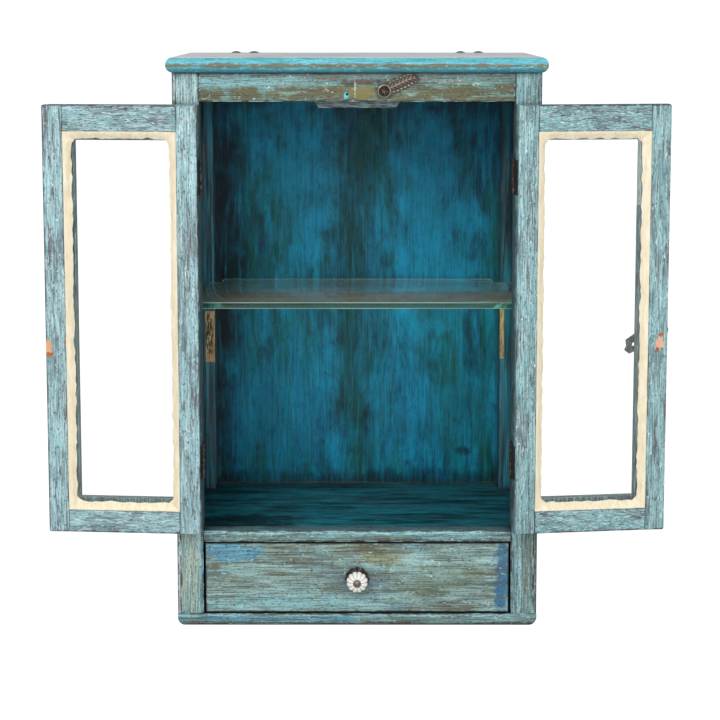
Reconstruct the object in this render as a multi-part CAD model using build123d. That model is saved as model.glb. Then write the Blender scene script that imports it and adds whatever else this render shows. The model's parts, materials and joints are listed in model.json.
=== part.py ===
from build123d import *
import math
import os

# Painted wooden wall cabinet: two glazed doors swung open, a glass shelf inside and one drawer below.
# Millimetres. +X is to the right, +Y points into the wall, +Z is up.
# The origin is the centre of the flat underside. Depths are measured back from the front plane.

# --- overall sizes ---------------------------------------------------------------------------------
carcass_width = 450.0
carcass_depth = 275.0
bottom_rail_height = 15.0
drawer_opening_height = 92.0
middle_rail_height = 14.0
door_opening_height = 534.0
frieze_height = 35.0
cornice_thickness = 19.0
cornice_front_overhang = 10.0
cornice_side_overhang = 6.5
cornice_nose_radius = 9.0

# --- carcass boards --------------------------------------------------------------------------------
post_width = 33.0
front_post_depth = 28.0
back_post_depth = 42.0
post_arris_radius = 4.5
foot_corner_radius = 10.0
frieze_depth = 20.0
middle_rail_depth = 24.0
side_panel_thickness = 9.0
side_panel_setback = 6.0
side_rail_thickness = 18.0
side_rail_setback = 4.0
side_top_rail_height = 40.0
side_bottom_rail_height = 52.0
panel_tongue = 6.0
tenon_length = 12.0
tenon_inset = 8.0
tenon_cheek = 5.0
floor_thickness = 10.0
base_board_thickness = 6.0
back_panel_thickness = 9.0
back_panel_lap = 8.0
back_rail_depth = 21.0
back_top_rail_height = 25.0
old_screw_hole = (-12.0, 26.0, 1.6, 9.0)
left_scar = (174.0, 69.0, 12.0)
right_scar = (179.0, 69.0, 5.0)
scar_depth = 1.6

# --- shelf -----------------------------------------------------------------------------------------
shelf_height = 284.0
shelf_thickness = 8.0
shelf_end_clearance = 4.0
shelf_front_clearance = 0.8
shelf_ear_clearance = 15.0
shelf_back_clearance = 8.0
shelf_corner_cut = 3.0
shelf_notch_clearance = 5.0
shelf_notch_sweep = 12.0
shelf_lift = 60.0
bearer_width = 14.0
bearer_height = 12.0
bearer_end_gap = 1.0

# --- doors -----------------------------------------------------------------------------------------
door_thickness = 22.0
door_top_gap = 3.0
door_bottom_gap = 2.5
hinge_gap = 1.5
pivot_inset = 1.25
meeting_gap = 2.0
meeting_lap = 3.0
meeting_offset = -1.5
lap_face_gap = 0.5
hinge_stile_face = 25.5
left_meeting_stile_face = 25.0
right_meeting_stile_face = 24.0
stile_corner_radius = 2.5
top_rail_face = 32.0
bottom_rail_face = 28.0
hinge_lip = 7.0
meeting_lip = 12.5
top_lip = 11.0
bottom_lip = 14.5
lip_thickness = 11.0
glass_thickness = 3.0
glass_edge_gap = 1.0
putty_width = 9.0
putty_top_land = 1.2
putty_recess = 0.6
door_tenon_length = 18.0
door_tenon_thickness = 7.0
left_open_past_flat = 5.0
right_open_past_flat = 8.0
stop_block_gap = 0.6
stop_block_top_width = 106.0
stop_block_bottom_width = 95.0
stop_block_drop = 8.5
stop_block_depth = 20.0
stop_block_rise = 4.0

# --- butt hinges -----------------------------------------------------------------------------------
hinge_length = 42.0
hinge_end_distance = 88.0
pivot_standoff = 2.9
knuckle_radius = 2.4
knuckle_end_gap = 0.15
knuckle_relief = 0.35
pin_radius = 1.2
pin_head_radius = 2.0
pin_head_height = 1.4
running_clearance = 0.05
leaf_thickness = 1.1
leaf_gap = 0.3
leaf_width = 19.0
hinge_screw_head_radius = 2.9
hinge_screw_radius = 1.4
hinge_screw_length = 11.0
fastener_clearance = 0.06

# --- turn-button on the frieze ---------------------------------------------------------------------
button_x = 33.0
button_drop = 22.0
button_rest_angle = 25.0
button_gap = 1.2
button_thickness = 4.0
button_boss_radius = 8.5
button_boss_rise = 1.0
button_screw_radius = 2.2
button_screw_head_radius = 4.2
button_screw_head_height = 1.8
button_screw_depth = 14.0

# --- latch on the right door, keeper on the left ---------------------------------------------------
latch_height = 235.0
latch_pivot_inset = 20.0
latch_plate_thickness = 1.2
latch_plate_width = 17.0
latch_plate_height = 34.0
latch_gap = 0.4
latch_thickness = 2.0
latch_hub_radius = 7.0
latch_pin_radius = 2.2
latch_pin_head_radius = 3.6
latch_pin_head_height = 1.4
latch_pin_depth = 9.0
keeper_width = 13.0
keeper_height = 30.0
keeper_ridge_width = 2.0
keeper_ridge_rise = 3.2
nose_reach = 4.7
nose_to_ridge = 2.0
keeper_edge_gap = 0.5

# --- drawer ----------------------------------------------------------------------------------------
drawer_side_gap = 2.0
drawer_top_gap = 1.4
drawer_lift = 1.4
drawer_depth = 244.5
drawer_front_thickness = 16.0
drawer_front_radius = 3.0
drawer_side_thickness = 9.0
drawer_side_height = 74.0
drawer_rebate = 8.0
drawer_bottom_thickness = 5.0
drawer_bottom_lift = 7.0
drawer_groove = 4.0
drawer_travel = 170.0
runner_width = 25.0
runner_thickness = 11.0
runner_gap = 0.4
guide_height = 15.0
kicker_height = 14.0
drawer_stop_size = (30.0, 14.0, 18.0)
drawer_stop_inset = 25.0
drawer_stop_gap = 0.5

# --- knob ------------------------------------------------------------------------------------------
knob_height = 59.5
knob_radius = 13.6
knob_length = 22.0
knob_neck_radius = 6.5
knob_neck_length = 5.0
knob_lobes = 12
backplate_radius = 15.0
backplate_thickness = 1.8
bolt_radius = 2.4
bolt_head_radius = 4.8
bolt_head_height = 2.6
nut_flats = 9.0
nut_thickness = 4.0

# --- iron hanging brackets and nails ---------------------------------------------------------------
bracket_spacing = 300.0
bracket_width = 40.0
bracket_thickness = 1.6
bracket_top_leg = 18.0
bracket_back_leg = 52.0
bracket_hole_radius = 4.0
bracket_hole_drop = 34.0
bracket_bolt_pitch = 24.0
bracket_bolt_head_radius = 7.0
bracket_bolt_head_height = 2.2
bracket_bolt_radius = 2.5
bracket_bolt_depth = 14.0
wall_screw_pocket = (8.5, 5.0)
nail_head_radius = 2.2
nail_head_height = 0.7
nail_radius = 0.9
nail_length = 20.0
panel_nail_count = 5

# --- places worked out from the sizes --------------------------------------------------------------
half_width = carcass_width / 2
front_y = -carcass_depth / 2
opening_half = half_width - post_width
drawer_opening_bottom = bottom_rail_height
drawer_opening_top = drawer_opening_bottom + drawer_opening_height
floor_top = drawer_opening_top + middle_rail_height
door_opening_top = floor_top + door_opening_height
carcass_top = door_opening_top + frieze_height
total_height = carcass_top + cornice_thickness
back_post_front = carcass_depth - back_post_depth
back_panel_front = carcass_depth - back_panel_thickness
back_rail_front = back_panel_front - back_rail_depth
side_panel_outer = half_width - side_panel_setback
side_panel_inner = side_panel_outer - side_panel_thickness
side_rail_outer = half_width - side_rail_setback
side_rail_inner = side_rail_outer - side_rail_thickness
side_panel_bottom = side_bottom_rail_height - panel_tongue
side_panel_top = carcass_top - side_top_rail_height + panel_tongue
door_bottom = floor_top + door_bottom_gap
door_top = door_opening_top - door_top_gap
door_edge = opening_half - hinge_gap
pivot_x = opening_half - pivot_inset
pivot_y = front_y - pivot_standoff
hinge_heights = (door_bottom + hinge_end_distance, door_top - hinge_end_distance)
shelf_top = floor_top + shelf_height
shelf_bottom = shelf_top - shelf_thickness
button_z = carcass_top - button_drop
latch_z = floor_top + latch_height
lap_edge_x = meeting_offset - (meeting_lap - meeting_gap) / 2
drawer_bottom_z = drawer_opening_bottom + drawer_lift
drawer_top_z = drawer_opening_top - drawer_top_gap
drawer_half = opening_half - drawer_side_gap
runner_top = drawer_bottom_z - runner_gap
bracket_hole_z = total_height - bracket_hole_drop
left_turn = -(180.0 + left_open_past_flat)
right_turn = 180.0 + right_open_past_flat


def board(x0, x1, d0, d1, z0, z1):
    """A straight board between two x values, two depths behind the front plane and two heights."""
    size = (abs(x1 - x0), abs(d1 - d0), abs(z1 - z0))
    centre = ((x0 + x1) / 2, front_y + (d0 + d1) / 2, (z0 + z1) / 2)
    return Pos(*centre) * Box(*size)


def moved(piece, move):
    """Applies a move to one piece or to each piece of a group."""
    if isinstance(piece, list):
        return [move(single) for single in piece]
    return move(piece)


def rod(x, depth, z, radius, length, direction):
    """A round bar that starts at a point and runs along a direction."""
    plane = Plane(origin=(x, front_y + depth, z), z_dir=direction)
    return extrude(plane * Circle(radius), amount=length)


def mirrored(piece):
    """The same piece on the other side of the cabinet."""
    return mirror(piece, Plane.YZ)


def on_both_sides(right_piece):
    """The left and the right one of a pair, from the piece made for the right side."""
    return [mirrored(right_piece), right_piece]


def edges_along(piece, axis, x=None, y=None, z=None):
    """The straight edges along one axis, kept to those at the given coordinates."""
    edges = piece.edges().filter_by(axis)
    for value, part_of in ((x, "X"), (y, "Y"), (z, "Z")):
        if value is not None:
            edges = edges.filter_by(lambda e, v=value, p=part_of: abs(getattr(e.center(), p) - v) < 0.01)
    return edges


# --- carcass ---------------------------------------------------------------------------------------
def rail_tenons(end_x, d0, d1, z0, z1):
    """Stub tenons on both ends of a rail that runs from post to post."""
    right = board(end_x, end_x + tenon_length, d0 + tenon_cheek, d1 - tenon_cheek, z0, z1)
    return right + mirrored(right)


def side_rail(z0, z1, tenon_z0, tenon_z1):
    """A side rail between the front and back posts, tenoned into both."""
    rail = board(side_rail_inner, side_rail_outer, front_post_depth, back_post_front, z0, z1)
    tenons = board(side_rail_inner + tenon_cheek, side_rail_outer - tenon_cheek,
                   front_post_depth - tenon_length, back_post_front + tenon_length, tenon_z0, tenon_z1)
    return rail + tenons - side_panel_solid()


def side_panel_solid():
    return board(side_panel_inner, side_panel_outer, front_post_depth - panel_tongue,
                 back_post_front + panel_tongue, side_panel_bottom, side_panel_top)


def side_rail_pair():
    top = side_rail(carcass_top - side_top_rail_height, carcass_top,
                    carcass_top - side_top_rail_height + tenon_inset, carcass_top - tenon_inset)
    bottom = side_rail(0.0, side_bottom_rail_height,
                       bottom_rail_height + tenon_inset, side_bottom_rail_height - tenon_inset)
    return top, bottom


def frieze_rail():
    rail = board(-opening_half, opening_half, 0, frieze_depth, door_opening_top, carcass_top)
    rail += rail_tenons(opening_half, 0, frieze_depth, door_opening_top + tenon_inset,
                        carcass_top - tenon_inset)
    hole_x, hole_drop, hole_radius, hole_depth = old_screw_hole
    rail -= rod(hole_x, 0, carcass_top - hole_drop, hole_radius, hole_depth, (0, 1, 0))
    return rail - button_screw(fastener_clearance)


def middle_rail():
    rail = board(-opening_half, opening_half, 0, middle_rail_depth, drawer_opening_top, floor_top)
    cheek = middle_rail_height / 4
    return rail + rail_tenons(opening_half, 0, middle_rail_depth, drawer_opening_top + cheek,
                              floor_top - cheek)


def bottom_rail():
    rail = board(-half_width, half_width, 0, front_post_depth, 0, bottom_rail_height)
    for x in (-half_width, half_width):
        rail = fillet(edges_along(rail, Axis.Y, x=x, z=0), foot_corner_radius)
    return rail


def back_rail(z0, z1):
    return board(-opening_half, opening_half, back_rail_front, back_panel_front, z0, z1)


def front_post(leaves_and_screws):
    post = board(opening_half, half_width, 0, front_post_depth, bottom_rail_height, carcass_top)
    post = fillet(edges_along(post, Axis.Z, x=half_width, y=front_y), post_arris_radius)
    for piece in (frieze_rail(), middle_rail(), side_panel_solid(), *side_rail_pair()):
        post -= piece
    return post - leaves_and_screws


def back_post(scar):
    post = board(opening_half, half_width, back_post_front, carcass_depth, 0, carcass_top)
    for piece in (back_panel_blank(), side_panel_solid(), *side_rail_pair(), *panel_nails(fastener_clearance)):
        post -= piece
    scar_z, scar_length, scar_width = scar
    z0 = floor_top + scar_z
    return post - board(opening_half, opening_half + scar_width, back_post_front,
                        back_post_front + scar_depth, z0, z0 + scar_length)


def back_panel_blank():
    half = opening_half + back_panel_lap
    return board(-half, half, back_panel_front, carcass_depth, bottom_rail_height, carcass_top)


def back_panel():
    panel = back_panel_blank() - back_rail(0, bottom_rail_height)
    pocket_radius, pocket_depth = wall_screw_pocket
    for x in (-bracket_spacing / 2, bracket_spacing / 2):
        panel -= rod(x, carcass_depth, bracket_hole_z, pocket_radius, pocket_depth, (0, -1, 0))
    for piece in (*hanging_brackets(0.0), *panel_nails(fastener_clearance)):
        panel -= piece
    return panel


def cabinet_floor():
    half = side_panel_inner
    floor = board(-half, half, middle_rail_depth, back_panel_front, floor_top - floor_thickness, floor_top)
    for side in (-1, 1):
        floor -= board(side * opening_half, side * half, middle_rail_depth, front_post_depth, 0, floor_top)
        floor -= board(side * opening_half, side * half, back_post_front, back_panel_front, 0, floor_top)
    return floor


def base_board():
    half = side_rail_inner - runner_width
    return board(-half, half, front_post_depth, back_rail_front, 0, base_board_thickness)


def top_board():
    overhang = half_width + cornice_side_overhang
    top = board(-overhang, overhang, -cornice_front_overhang, carcass_depth, carcass_top, total_height)
    moulded = [edge for z in (carcass_top, total_height)
               for edge in edges_along(top, Axis.X, y=front_y - cornice_front_overhang, z=z)
               + edges_along(top, Axis.Y, z=z)]
    top = fillet(moulded, cornice_nose_radius)
    for piece in (*hanging_brackets(0.0), *hanging_bolts(fastener_clearance)):
        top -= piece
    return top


def door_stop_block():
    """A tapered block on the back of the frieze. The closed doors rest against its lower front face."""
    bottom = door_opening_top - stop_block_drop
    outline = Polyline(
        (-stop_block_bottom_width / 2, bottom), (stop_block_bottom_width / 2, bottom),
        (stop_block_top_width / 2, door_opening_top), (stop_block_top_width / 2, carcass_top),
        (-stop_block_top_width / 2, carcass_top), (-stop_block_top_width / 2, door_opening_top), close=True)
    plane = Plane(origin=(0, front_y + frieze_depth, 0), x_dir=(1, 0, 0), z_dir=(0, -1, 0))
    block = extrude(plane * make_face(outline), amount=-stop_block_depth)
    relief = board(-stop_block_top_width, stop_block_top_width, 0, door_thickness + stop_block_gap,
                   0, door_opening_top + stop_block_rise)
    return block - relief


# --- hanging brackets, bolts and nails -------------------------------------------------------------
def hanging_brackets(clearance):
    """Two iron angles, let in flush: one leg on the top board, one leg down the back."""
    half = bracket_width / 2 + clearance
    brackets = []
    for x in (-bracket_spacing / 2, bracket_spacing / 2):
        top_leg = board(x - half, x + half, carcass_depth - bracket_top_leg, carcass_depth,
                        total_height - bracket_thickness, total_height)
        back_leg = board(x - half, x + half, carcass_depth - bracket_thickness, carcass_depth,
                         total_height - bracket_back_leg, total_height)
        brackets.append(top_leg + back_leg)
    return brackets


def hanging_bolts(clearance):
    """Four dome-headed bolts that hold the top legs of the two brackets."""
    bolts = []
    depth = carcass_depth - bracket_top_leg / 2
    for x in (-bracket_spacing / 2, bracket_spacing / 2):
        for offset in (-bracket_bolt_pitch / 2, bracket_bolt_pitch / 2):
            head = Pos(x + offset, front_y + depth, total_height) * dome(bracket_bolt_head_radius,
                                                                       bracket_bolt_head_height)
            shank = rod(x + offset, depth, total_height, bracket_bolt_radius + clearance,
                        bracket_bolt_depth + clearance, (0, 0, -1))
            bolts.append(shank if clearance else head + shank)
    return bolts


def dome(radius, height):
    """A shallow dome that stands on the XY plane."""
    sphere_radius = (radius ** 2 + height ** 2) / (2 * height)
    cap = Pos(0, 0, height - sphere_radius) * Sphere(sphere_radius)
    return cap & (Pos(0, 0, height / 2) * Box(4 * radius, 4 * radius, height))


def drilled_brackets():
    brackets = []
    cutters = hanging_bolts(fastener_clearance)
    for bracket in hanging_brackets(0.0):
        for cutter in cutters:
            bracket -= cutter
        for x in (-bracket_spacing / 2, bracket_spacing / 2):
            bracket -= rod(x, carcass_depth, bracket_hole_z, bracket_hole_radius, bracket_thickness, (0, -1, 0))
        brackets.append(bracket)
    return brackets


def panel_nails(clearance):
    """Nails through the back panel into the rebates of the back posts."""
    nails = []
    x = opening_half + back_panel_lap / 2
    first, last = bottom_rail_height + nail_length, carcass_top - nail_length
    step = (last - first) / (panel_nail_count - 1)
    head_depth = nail_head_height + clearance
    for side in (-1, 1):
        for index in range(panel_nail_count):
            z = first + index * step
            head = rod(side * x, carcass_depth, z, nail_head_radius + clearance, head_depth, (0, -1, 0))
            nails.append(head + rod(side * x, carcass_depth, z, nail_radius + clearance,
                                    nail_length + clearance, (0, -1, 0)))
    return nails


# --- hinges, in the place they have while the doors are shut ----------------------------------------
def knuckle_spans():
    """Heights of the three knuckles, from the foot of the hinge."""
    third = hinge_length / 3
    return [(0, third - knuckle_end_gap), (third + knuckle_end_gap, 2 * third - knuckle_end_gap),
            (2 * third + knuckle_end_gap, hinge_length)]


def at_pivot(radius, z0, z1):
    return Pos(pivot_x, pivot_y, (z0 + z1) / 2) * Cylinder(radius, z1 - z0)


def hinge_leaf(foot, knuckles, others, toward):
    """One leaf of a right-hand hinge. It lies on the post (toward = 1) or on the door edge (-1)."""
    inner = pivot_x + toward * leaf_gap / 2
    outer = inner + toward * leaf_thickness
    leaf = board(inner, outer, -pivot_standoff, leaf_width, foot, foot + hinge_length)
    spans = knuckle_spans()
    for index in others:
        z0, z1 = spans[index]
        leaf -= at_pivot(knuckle_radius + knuckle_relief, foot + z0 - 2 * knuckle_end_gap,
                         foot + z1 + 2 * knuckle_end_gap)
    for index in knuckles:
        z0, z1 = spans[index]
        leaf += at_pivot(knuckle_radius, foot + z0, foot + z1)
    return leaf - at_pivot(pin_radius + running_clearance, foot - 1, foot + hinge_length + 1)


def hinge_screws(foot, toward, clearance):
    """Three countersunk screws of one leaf, driven into the wood behind it."""
    face = pivot_x + toward * leaf_gap / 2
    screws = []
    for index in range(3):
        z = foot + hinge_length * (1 + 2 * index) / 6
        depth = leaf_width * (0.45 if index == 1 else 0.7)
        plane = Plane(origin=(face, front_y + depth, z), z_dir=(toward, 0, 0))
        head = loft([plane * Circle(hinge_screw_head_radius + clearance),
                     plane.offset(leaf_thickness) * Circle(hinge_screw_radius + clearance)])
        shank = extrude(plane * Circle(hinge_screw_radius + clearance), amount=hinge_screw_length + clearance)
        screws.append(head + shank)
    return screws


def hinge_set(toward, knuckles, others):
    """The leaves of the upper and lower right-hand hinges, drilled, with their screws."""
    leaves, screws, cutters = [], [], []
    for height in hinge_heights:
        foot = height - hinge_length / 2
        holes = hinge_screws(foot, toward, fastener_clearance)
        leaf = hinge_leaf(foot, knuckles, others, toward)
        cutters.append(Part() + [leaf] + holes)
        for hole in holes:
            leaf -= hole
        leaves.append(leaf)
        screws += hinge_screws(foot, toward, 0.0)
    return leaves, screws, cutters


def hinge_pins():
    pins = []
    for height in hinge_heights:
        z0, z1 = height - hinge_length / 2, height + hinge_length / 2
        pin = at_pivot(pin_radius, z0, z1)
        for low, high in ((z0 - pin_head_height, z0 - 0.1), (z1 + 0.1, z1 + pin_head_height)):
            pin += at_pivot(pin_head_radius, low, high)
        pins.append(pin + at_pivot(pin_radius, z0 - pin_head_height, z1 + pin_head_height))
    return pins


# --- doors, made for the left side in the shut position ---------------------------------------------
def door_board(u0, u1, d0, d1, z0, z1):
    """A board of a door: u runs from the hinge edge to the meeting edge, d from outside to inside."""
    return board(-door_edge + u0, -door_edge + u1, d0, d1, z0, z1)


class Door:
    """Sizes of one door. The right door laps over the left one where they meet."""

    def __init__(self, laps_over, meeting_face):
        shared_edge = door_edge - meeting_gap / 2 + (-meeting_offset if laps_over else meeting_offset)
        long_edge = shared_edge + meeting_lap / 2
        short_edge = shared_edge - meeting_lap / 2
        self.laps_over = laps_over
        self.outside_edge = long_edge if laps_over else short_edge
        self.inside_edge = short_edge if laps_over else long_edge
        self.rebate_u = (hinge_stile_face, self.inside_edge - meeting_face)
        self.sight_u = (self.rebate_u[0] + hinge_lip, self.rebate_u[1] - meeting_lip)
        self.rebate_z = (door_bottom + bottom_rail_face, door_top - top_rail_face)
        self.sight_z = (self.rebate_z[0] + bottom_lip, self.rebate_z[1] - top_lip)

    def rail_tenon(self, z0, z1):
        cheek = (door_thickness - door_tenon_thickness) / 2
        inset = (z1 - z0) / 5
        return door_board(self.sight_u[0] - door_tenon_length, self.sight_u[1] + door_tenon_length,
                          cheek, cheek + door_tenon_thickness, z0 + inset, z1 - inset)

    def rail(self, z0, z1, face_z0, face_z1):
        outside = door_board(self.sight_u[0], self.sight_u[1], 0, lip_thickness, z0, z1)
        inside = door_board(self.rebate_u[0], self.rebate_u[1], lip_thickness, door_thickness,
                            face_z0, face_z1)
        return outside + inside + self.rail_tenon(face_z0, face_z1)

    def top_rail(self):
        return self.rail(self.sight_z[1], door_top, self.rebate_z[1], door_top)

    def bottom_rail(self):
        return self.rail(door_bottom, self.sight_z[0], door_bottom, self.rebate_z[0])

    def hinge_stile(self, cutters):
        stile = door_board(0, self.sight_u[0], 0, lip_thickness, door_bottom, door_top)
        stile += door_board(0, self.rebate_u[0], lip_thickness, door_thickness, door_bottom, door_top)
        for piece in (self.top_rail(), self.bottom_rail(), *cutters):
            stile -= piece
        return stile

    def meeting_stile(self):
        step = lap_face_gap / 2 if self.laps_over else -lap_face_gap / 2
        split = door_thickness / 2 - step
        stile = door_board(self.sight_u[1], self.inside_edge, 0, door_thickness, door_bottom, door_top)
        stile -= door_board(self.sight_u[1], self.rebate_u[1], lip_thickness, door_thickness,
                            door_bottom, door_top)
        if self.laps_over:
            stile += door_board(self.inside_edge, self.outside_edge, 0, split, door_bottom, door_top)
        else:
            stile -= door_board(self.outside_edge, self.inside_edge, 0, split, door_bottom, door_top)
        for z in (door_bottom, door_top):
            for u in (self.outside_edge, self.inside_edge):
                stile = fillet(edges_along(stile, Axis.Y, x=u - door_edge, z=z), stile_corner_radius)
        for piece in (self.top_rail(), self.bottom_rail()):
            stile -= piece
        return stile

    def glass(self):
        return door_board(self.rebate_u[0] + glass_edge_gap, self.rebate_u[1] - glass_edge_gap,
                          lip_thickness, lip_thickness + glass_thickness,
                          self.rebate_z[0] + glass_edge_gap, self.rebate_z[1] - glass_edge_gap)

    def putty(self):
        """A sloped fillet all round, from the glass up to the inside face of the frame."""
        bed = lip_thickness + glass_thickness
        rim = door_thickness - putty_recess
        ring = door_board(*self.rebate_u, bed, rim, *self.rebate_z)
        centre_u = sum(self.rebate_u) / 2 - door_edge
        centre_z = sum(self.rebate_z) / 2
        faces = []
        for depth, inset in ((bed, putty_width), (rim, putty_top_land)):
            plane = Plane(origin=(centre_u, front_y + depth, centre_z), x_dir=(1, 0, 0), z_dir=(0, 1, 0))
            faces.append(plane * Rectangle(self.rebate_u[1] - self.rebate_u[0] - 2 * inset,
                                           self.rebate_z[1] - self.rebate_z[0] - 2 * inset))
        return ring - loft(faces, ruled=True)

    def nodes(self, name, leaf_group, screws, cutters):
        return {
            name + "_door_hinge_stile": self.hinge_stile(cutters),
            name + "_door_meeting_stile": self.meeting_stile(),
            name + "_door_top_rail": self.top_rail(),
            name + "_door_bottom_rail": self.bottom_rail(),
            name + "_door_glass": self.glass(),
            name + "_door_putty": self.putty(),
            name + "_door_hinge_leaves": leaf_group,
            name + "_door_hinge_screws": screws,
        }


def swing_left(piece):
    """Turns a shut left-door piece about its hinge pin to where it rests, a little past flat open."""
    return piece.rotate(Axis((-pivot_x, pivot_y, 0), (0, 0, 1)), left_turn)


def swing_right(piece):
    """The same for the right door."""
    return piece.rotate(Axis((pivot_x, pivot_y, 0), (0, 0, 1)), right_turn)


# --- latch and keeper, in the place they have while the doors are shut -----------------------------
def latch_x():
    return lap_edge_x + latch_pivot_inset


def front_face(depth):
    """A drawing plane parallel to the front, with x to the right and y up."""
    return Plane(origin=(0, front_y + depth, 0), x_dir=(1, 0, 0), z_dir=(0, -1, 0))


def latch_plate():
    x, half = latch_x(), latch_plate_height / 2
    outline = Rectangle(latch_plate_width, 2 * half - latch_plate_width)
    for z in (-1, 1):
        outline += Pos(0, z * (half - latch_plate_width / 2)) * Circle(latch_plate_width / 2)
    plate = extrude(front_face(0) * Pos(x, latch_z) * outline, amount=latch_plate_thickness)
    return plate - latch_pin(fastener_clearance)


def latch_pin(clearance):
    """A headed pin driven through the plate into the stile. The hook turns on it."""
    x = latch_x()
    pin = rod(x, latch_pin_depth, latch_z, latch_pin_radius + clearance,
              latch_pin_depth + latch_plate_thickness + latch_gap + latch_thickness + 0.2, (0, -1, 0))
    if clearance:
        return pin
    top = -(latch_plate_thickness + latch_gap + latch_thickness + 0.2)
    return pin + rod(x, top, latch_z, latch_pin_head_radius, latch_pin_head_height, (0, -1, 0))


def latch_hook():
    """A flat iron hook: a fish-tail thumb piece on one side, a nose over the keeper on the other."""
    x = latch_x()
    nose_x = lap_edge_x - nose_reach
    tail = Polyline((x + 3, latch_z + 5), (x + 15, latch_z + 13.5), (x + 29.5, latch_z + 4),
                    (x + 28.5, latch_z - 4), (x + 31, latch_z - 8.5), (x + 25, latch_z - 13.5),
                    (x + 17, latch_z - 10), (x + 3, latch_z - 5), close=True)
    arm = Polyline((x - 2, latch_z - 6), (x + 4, latch_z + 6), (nose_x + 6, latch_z + 20),
                   (nose_x, latch_z + 17.5), (nose_x + 1.5, latch_z + 11.5), close=True)
    outline = make_face(tail) + make_face(arm) + Pos(x, latch_z) * Circle(latch_hub_radius)
    outline -= Pos(x + 19, latch_z - 1.5) * Circle(2.4)
    outline -= Pos(x, latch_z) * Circle(latch_pin_radius + running_clearance)
    depth = -(latch_plate_thickness + latch_gap)
    return extrude(front_face(depth) * outline, amount=latch_thickness)


def latch_keeper():
    """A small plate with a raised ridge on the left door, in front of which the nose comes to lie."""
    edge = lap_edge_x - meeting_gap - keeper_edge_gap
    z0 = latch_z + 15 - keeper_height / 2
    plate = board(edge - keeper_width, edge, -latch_plate_thickness, 0, z0, z0 + keeper_height)
    ridge_x = lap_edge_x - nose_reach - nose_to_ridge
    return plate + board(ridge_x - keeper_ridge_width, ridge_x, -latch_plate_thickness - keeper_ridge_rise,
                         0, z0 + 3, z0 + keeper_height - 3)


# --- turn-button on the frieze ---------------------------------------------------------------------
def button_screw(clearance):
    x = button_x
    top = -(button_gap + button_thickness + button_boss_rise + 0.3)
    shank = rod(x, button_screw_depth, button_z, button_screw_radius + clearance,
                button_screw_depth - top, (0, -1, 0))
    if clearance:
        return shank
    head_plane = Plane(origin=(x, front_y + top, button_z), z_dir=(0, -1, 0))
    return shank + extrude(head_plane * Circle(button_screw_head_radius), amount=button_screw_head_height)


def turn_button():
    """A cast leaf on a round boss. The leaf is drawn lying along +X and then turned to its rest angle."""
    leaf = Spline((4, -5.2), (16, -6.4), (29, -7.4), (38, -8.6), (44.6, -7.4), (44.2, -3.0), (40.5, -0.6),
                  (41.6, 3.4), (37.6, 6.4), (30, 6.6), (17, 6.0), (4, 5.2))
    outline = make_face(leaf + Line((4, 5.2), (4, -5.2)))
    turned = front_face(-button_gap) * Pos(button_x, button_z) * Rot(0, 0, button_rest_angle)
    button = extrude(turned * outline, amount=button_thickness)
    button += rod(button_x, -button_gap, button_z, button_boss_radius,
                  button_thickness + button_boss_rise, (0, -1, 0))
    return button - rod(button_x, 0, button_z, button_screw_radius + running_clearance, 40, (0, -1, 0))


def button_washer():
    """A thin washer between the frieze and the turn-button."""
    washer = rod(button_x, 0, button_z, button_screw_head_radius, button_gap - 0.3, (0, -1, 0))
    return washer - button_screw(fastener_clearance)


# --- glass shelf -----------------------------------------------------------------------------------
def glass_shelf():
    """A plate with its back corners cut away in an S curve, so that it clears the back posts."""
    end = side_panel_inner - shelf_end_clearance
    front = front_post_depth + shelf_front_clearance
    ear = back_post_front - shelf_ear_clearance
    back = back_panel_front - shelf_back_clearance
    notch = opening_half - shelf_notch_clearance
    mid = (notch - shelf_notch_sweep / 2, (ear + back) / 2)
    s_curve = Spline((notch, ear), mid, (notch - shelf_notch_sweep, back), tangents=((-1, 0.15), (-1, 0.15)))
    right = Polyline((0, front), (end - shelf_corner_cut, front), (end, front + shelf_corner_cut),
                     (end, ear - shelf_corner_cut), (end - shelf_corner_cut, ear), (notch, ear))
    closing = Polyline((notch - shelf_notch_sweep, back), (0, back), (0, front))
    half = make_face(right + s_curve + closing)
    plate = extrude(Plane((0, front_y, shelf_bottom)) * (half + mirror(half, Plane.YZ)),
                    amount=shelf_thickness)
    return plate


def shelf_bearer():
    return board(side_panel_inner - bearer_width, side_panel_inner, front_post_depth + bearer_end_gap,
                 back_post_front - bearer_end_gap, shelf_bottom - bearer_height, shelf_bottom)


# --- drawer ----------------------------------------------------------------------------------------
def drawer_side():
    side = board(drawer_half - drawer_side_thickness, drawer_half, drawer_front_thickness - drawer_rebate,
                 drawer_depth, drawer_bottom_z, drawer_bottom_z + drawer_side_height)
    return side - drawer_bottom()


def drawer_bottom():
    half = drawer_half - drawer_side_thickness + drawer_groove
    z0 = drawer_bottom_z + drawer_bottom_lift
    return board(-half, half, drawer_front_thickness - drawer_groove, drawer_depth, z0,
                 z0 + drawer_bottom_thickness)


def drawer_back():
    half = drawer_half - drawer_side_thickness
    z0 = drawer_bottom_z + drawer_bottom_lift + drawer_bottom_thickness
    return board(-half, half, drawer_depth - drawer_side_thickness, drawer_depth, z0,
                 drawer_bottom_z + drawer_side_height)


def drawer_front():
    front = board(-drawer_half, drawer_half, 0, drawer_front_thickness, drawer_bottom_z, drawer_top_z)
    front = fillet(front.faces().sort_by(Axis.Y)[0].edges(), drawer_front_radius)
    for side in (-1, 1):
        front -= board(side * (drawer_half - drawer_side_thickness), side * drawer_half,
                       drawer_front_thickness - drawer_rebate, drawer_front_thickness,
                       drawer_bottom_z, drawer_bottom_z + drawer_side_height)
    return front - drawer_bottom() - knob_bolt(fastener_clearance)


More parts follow.
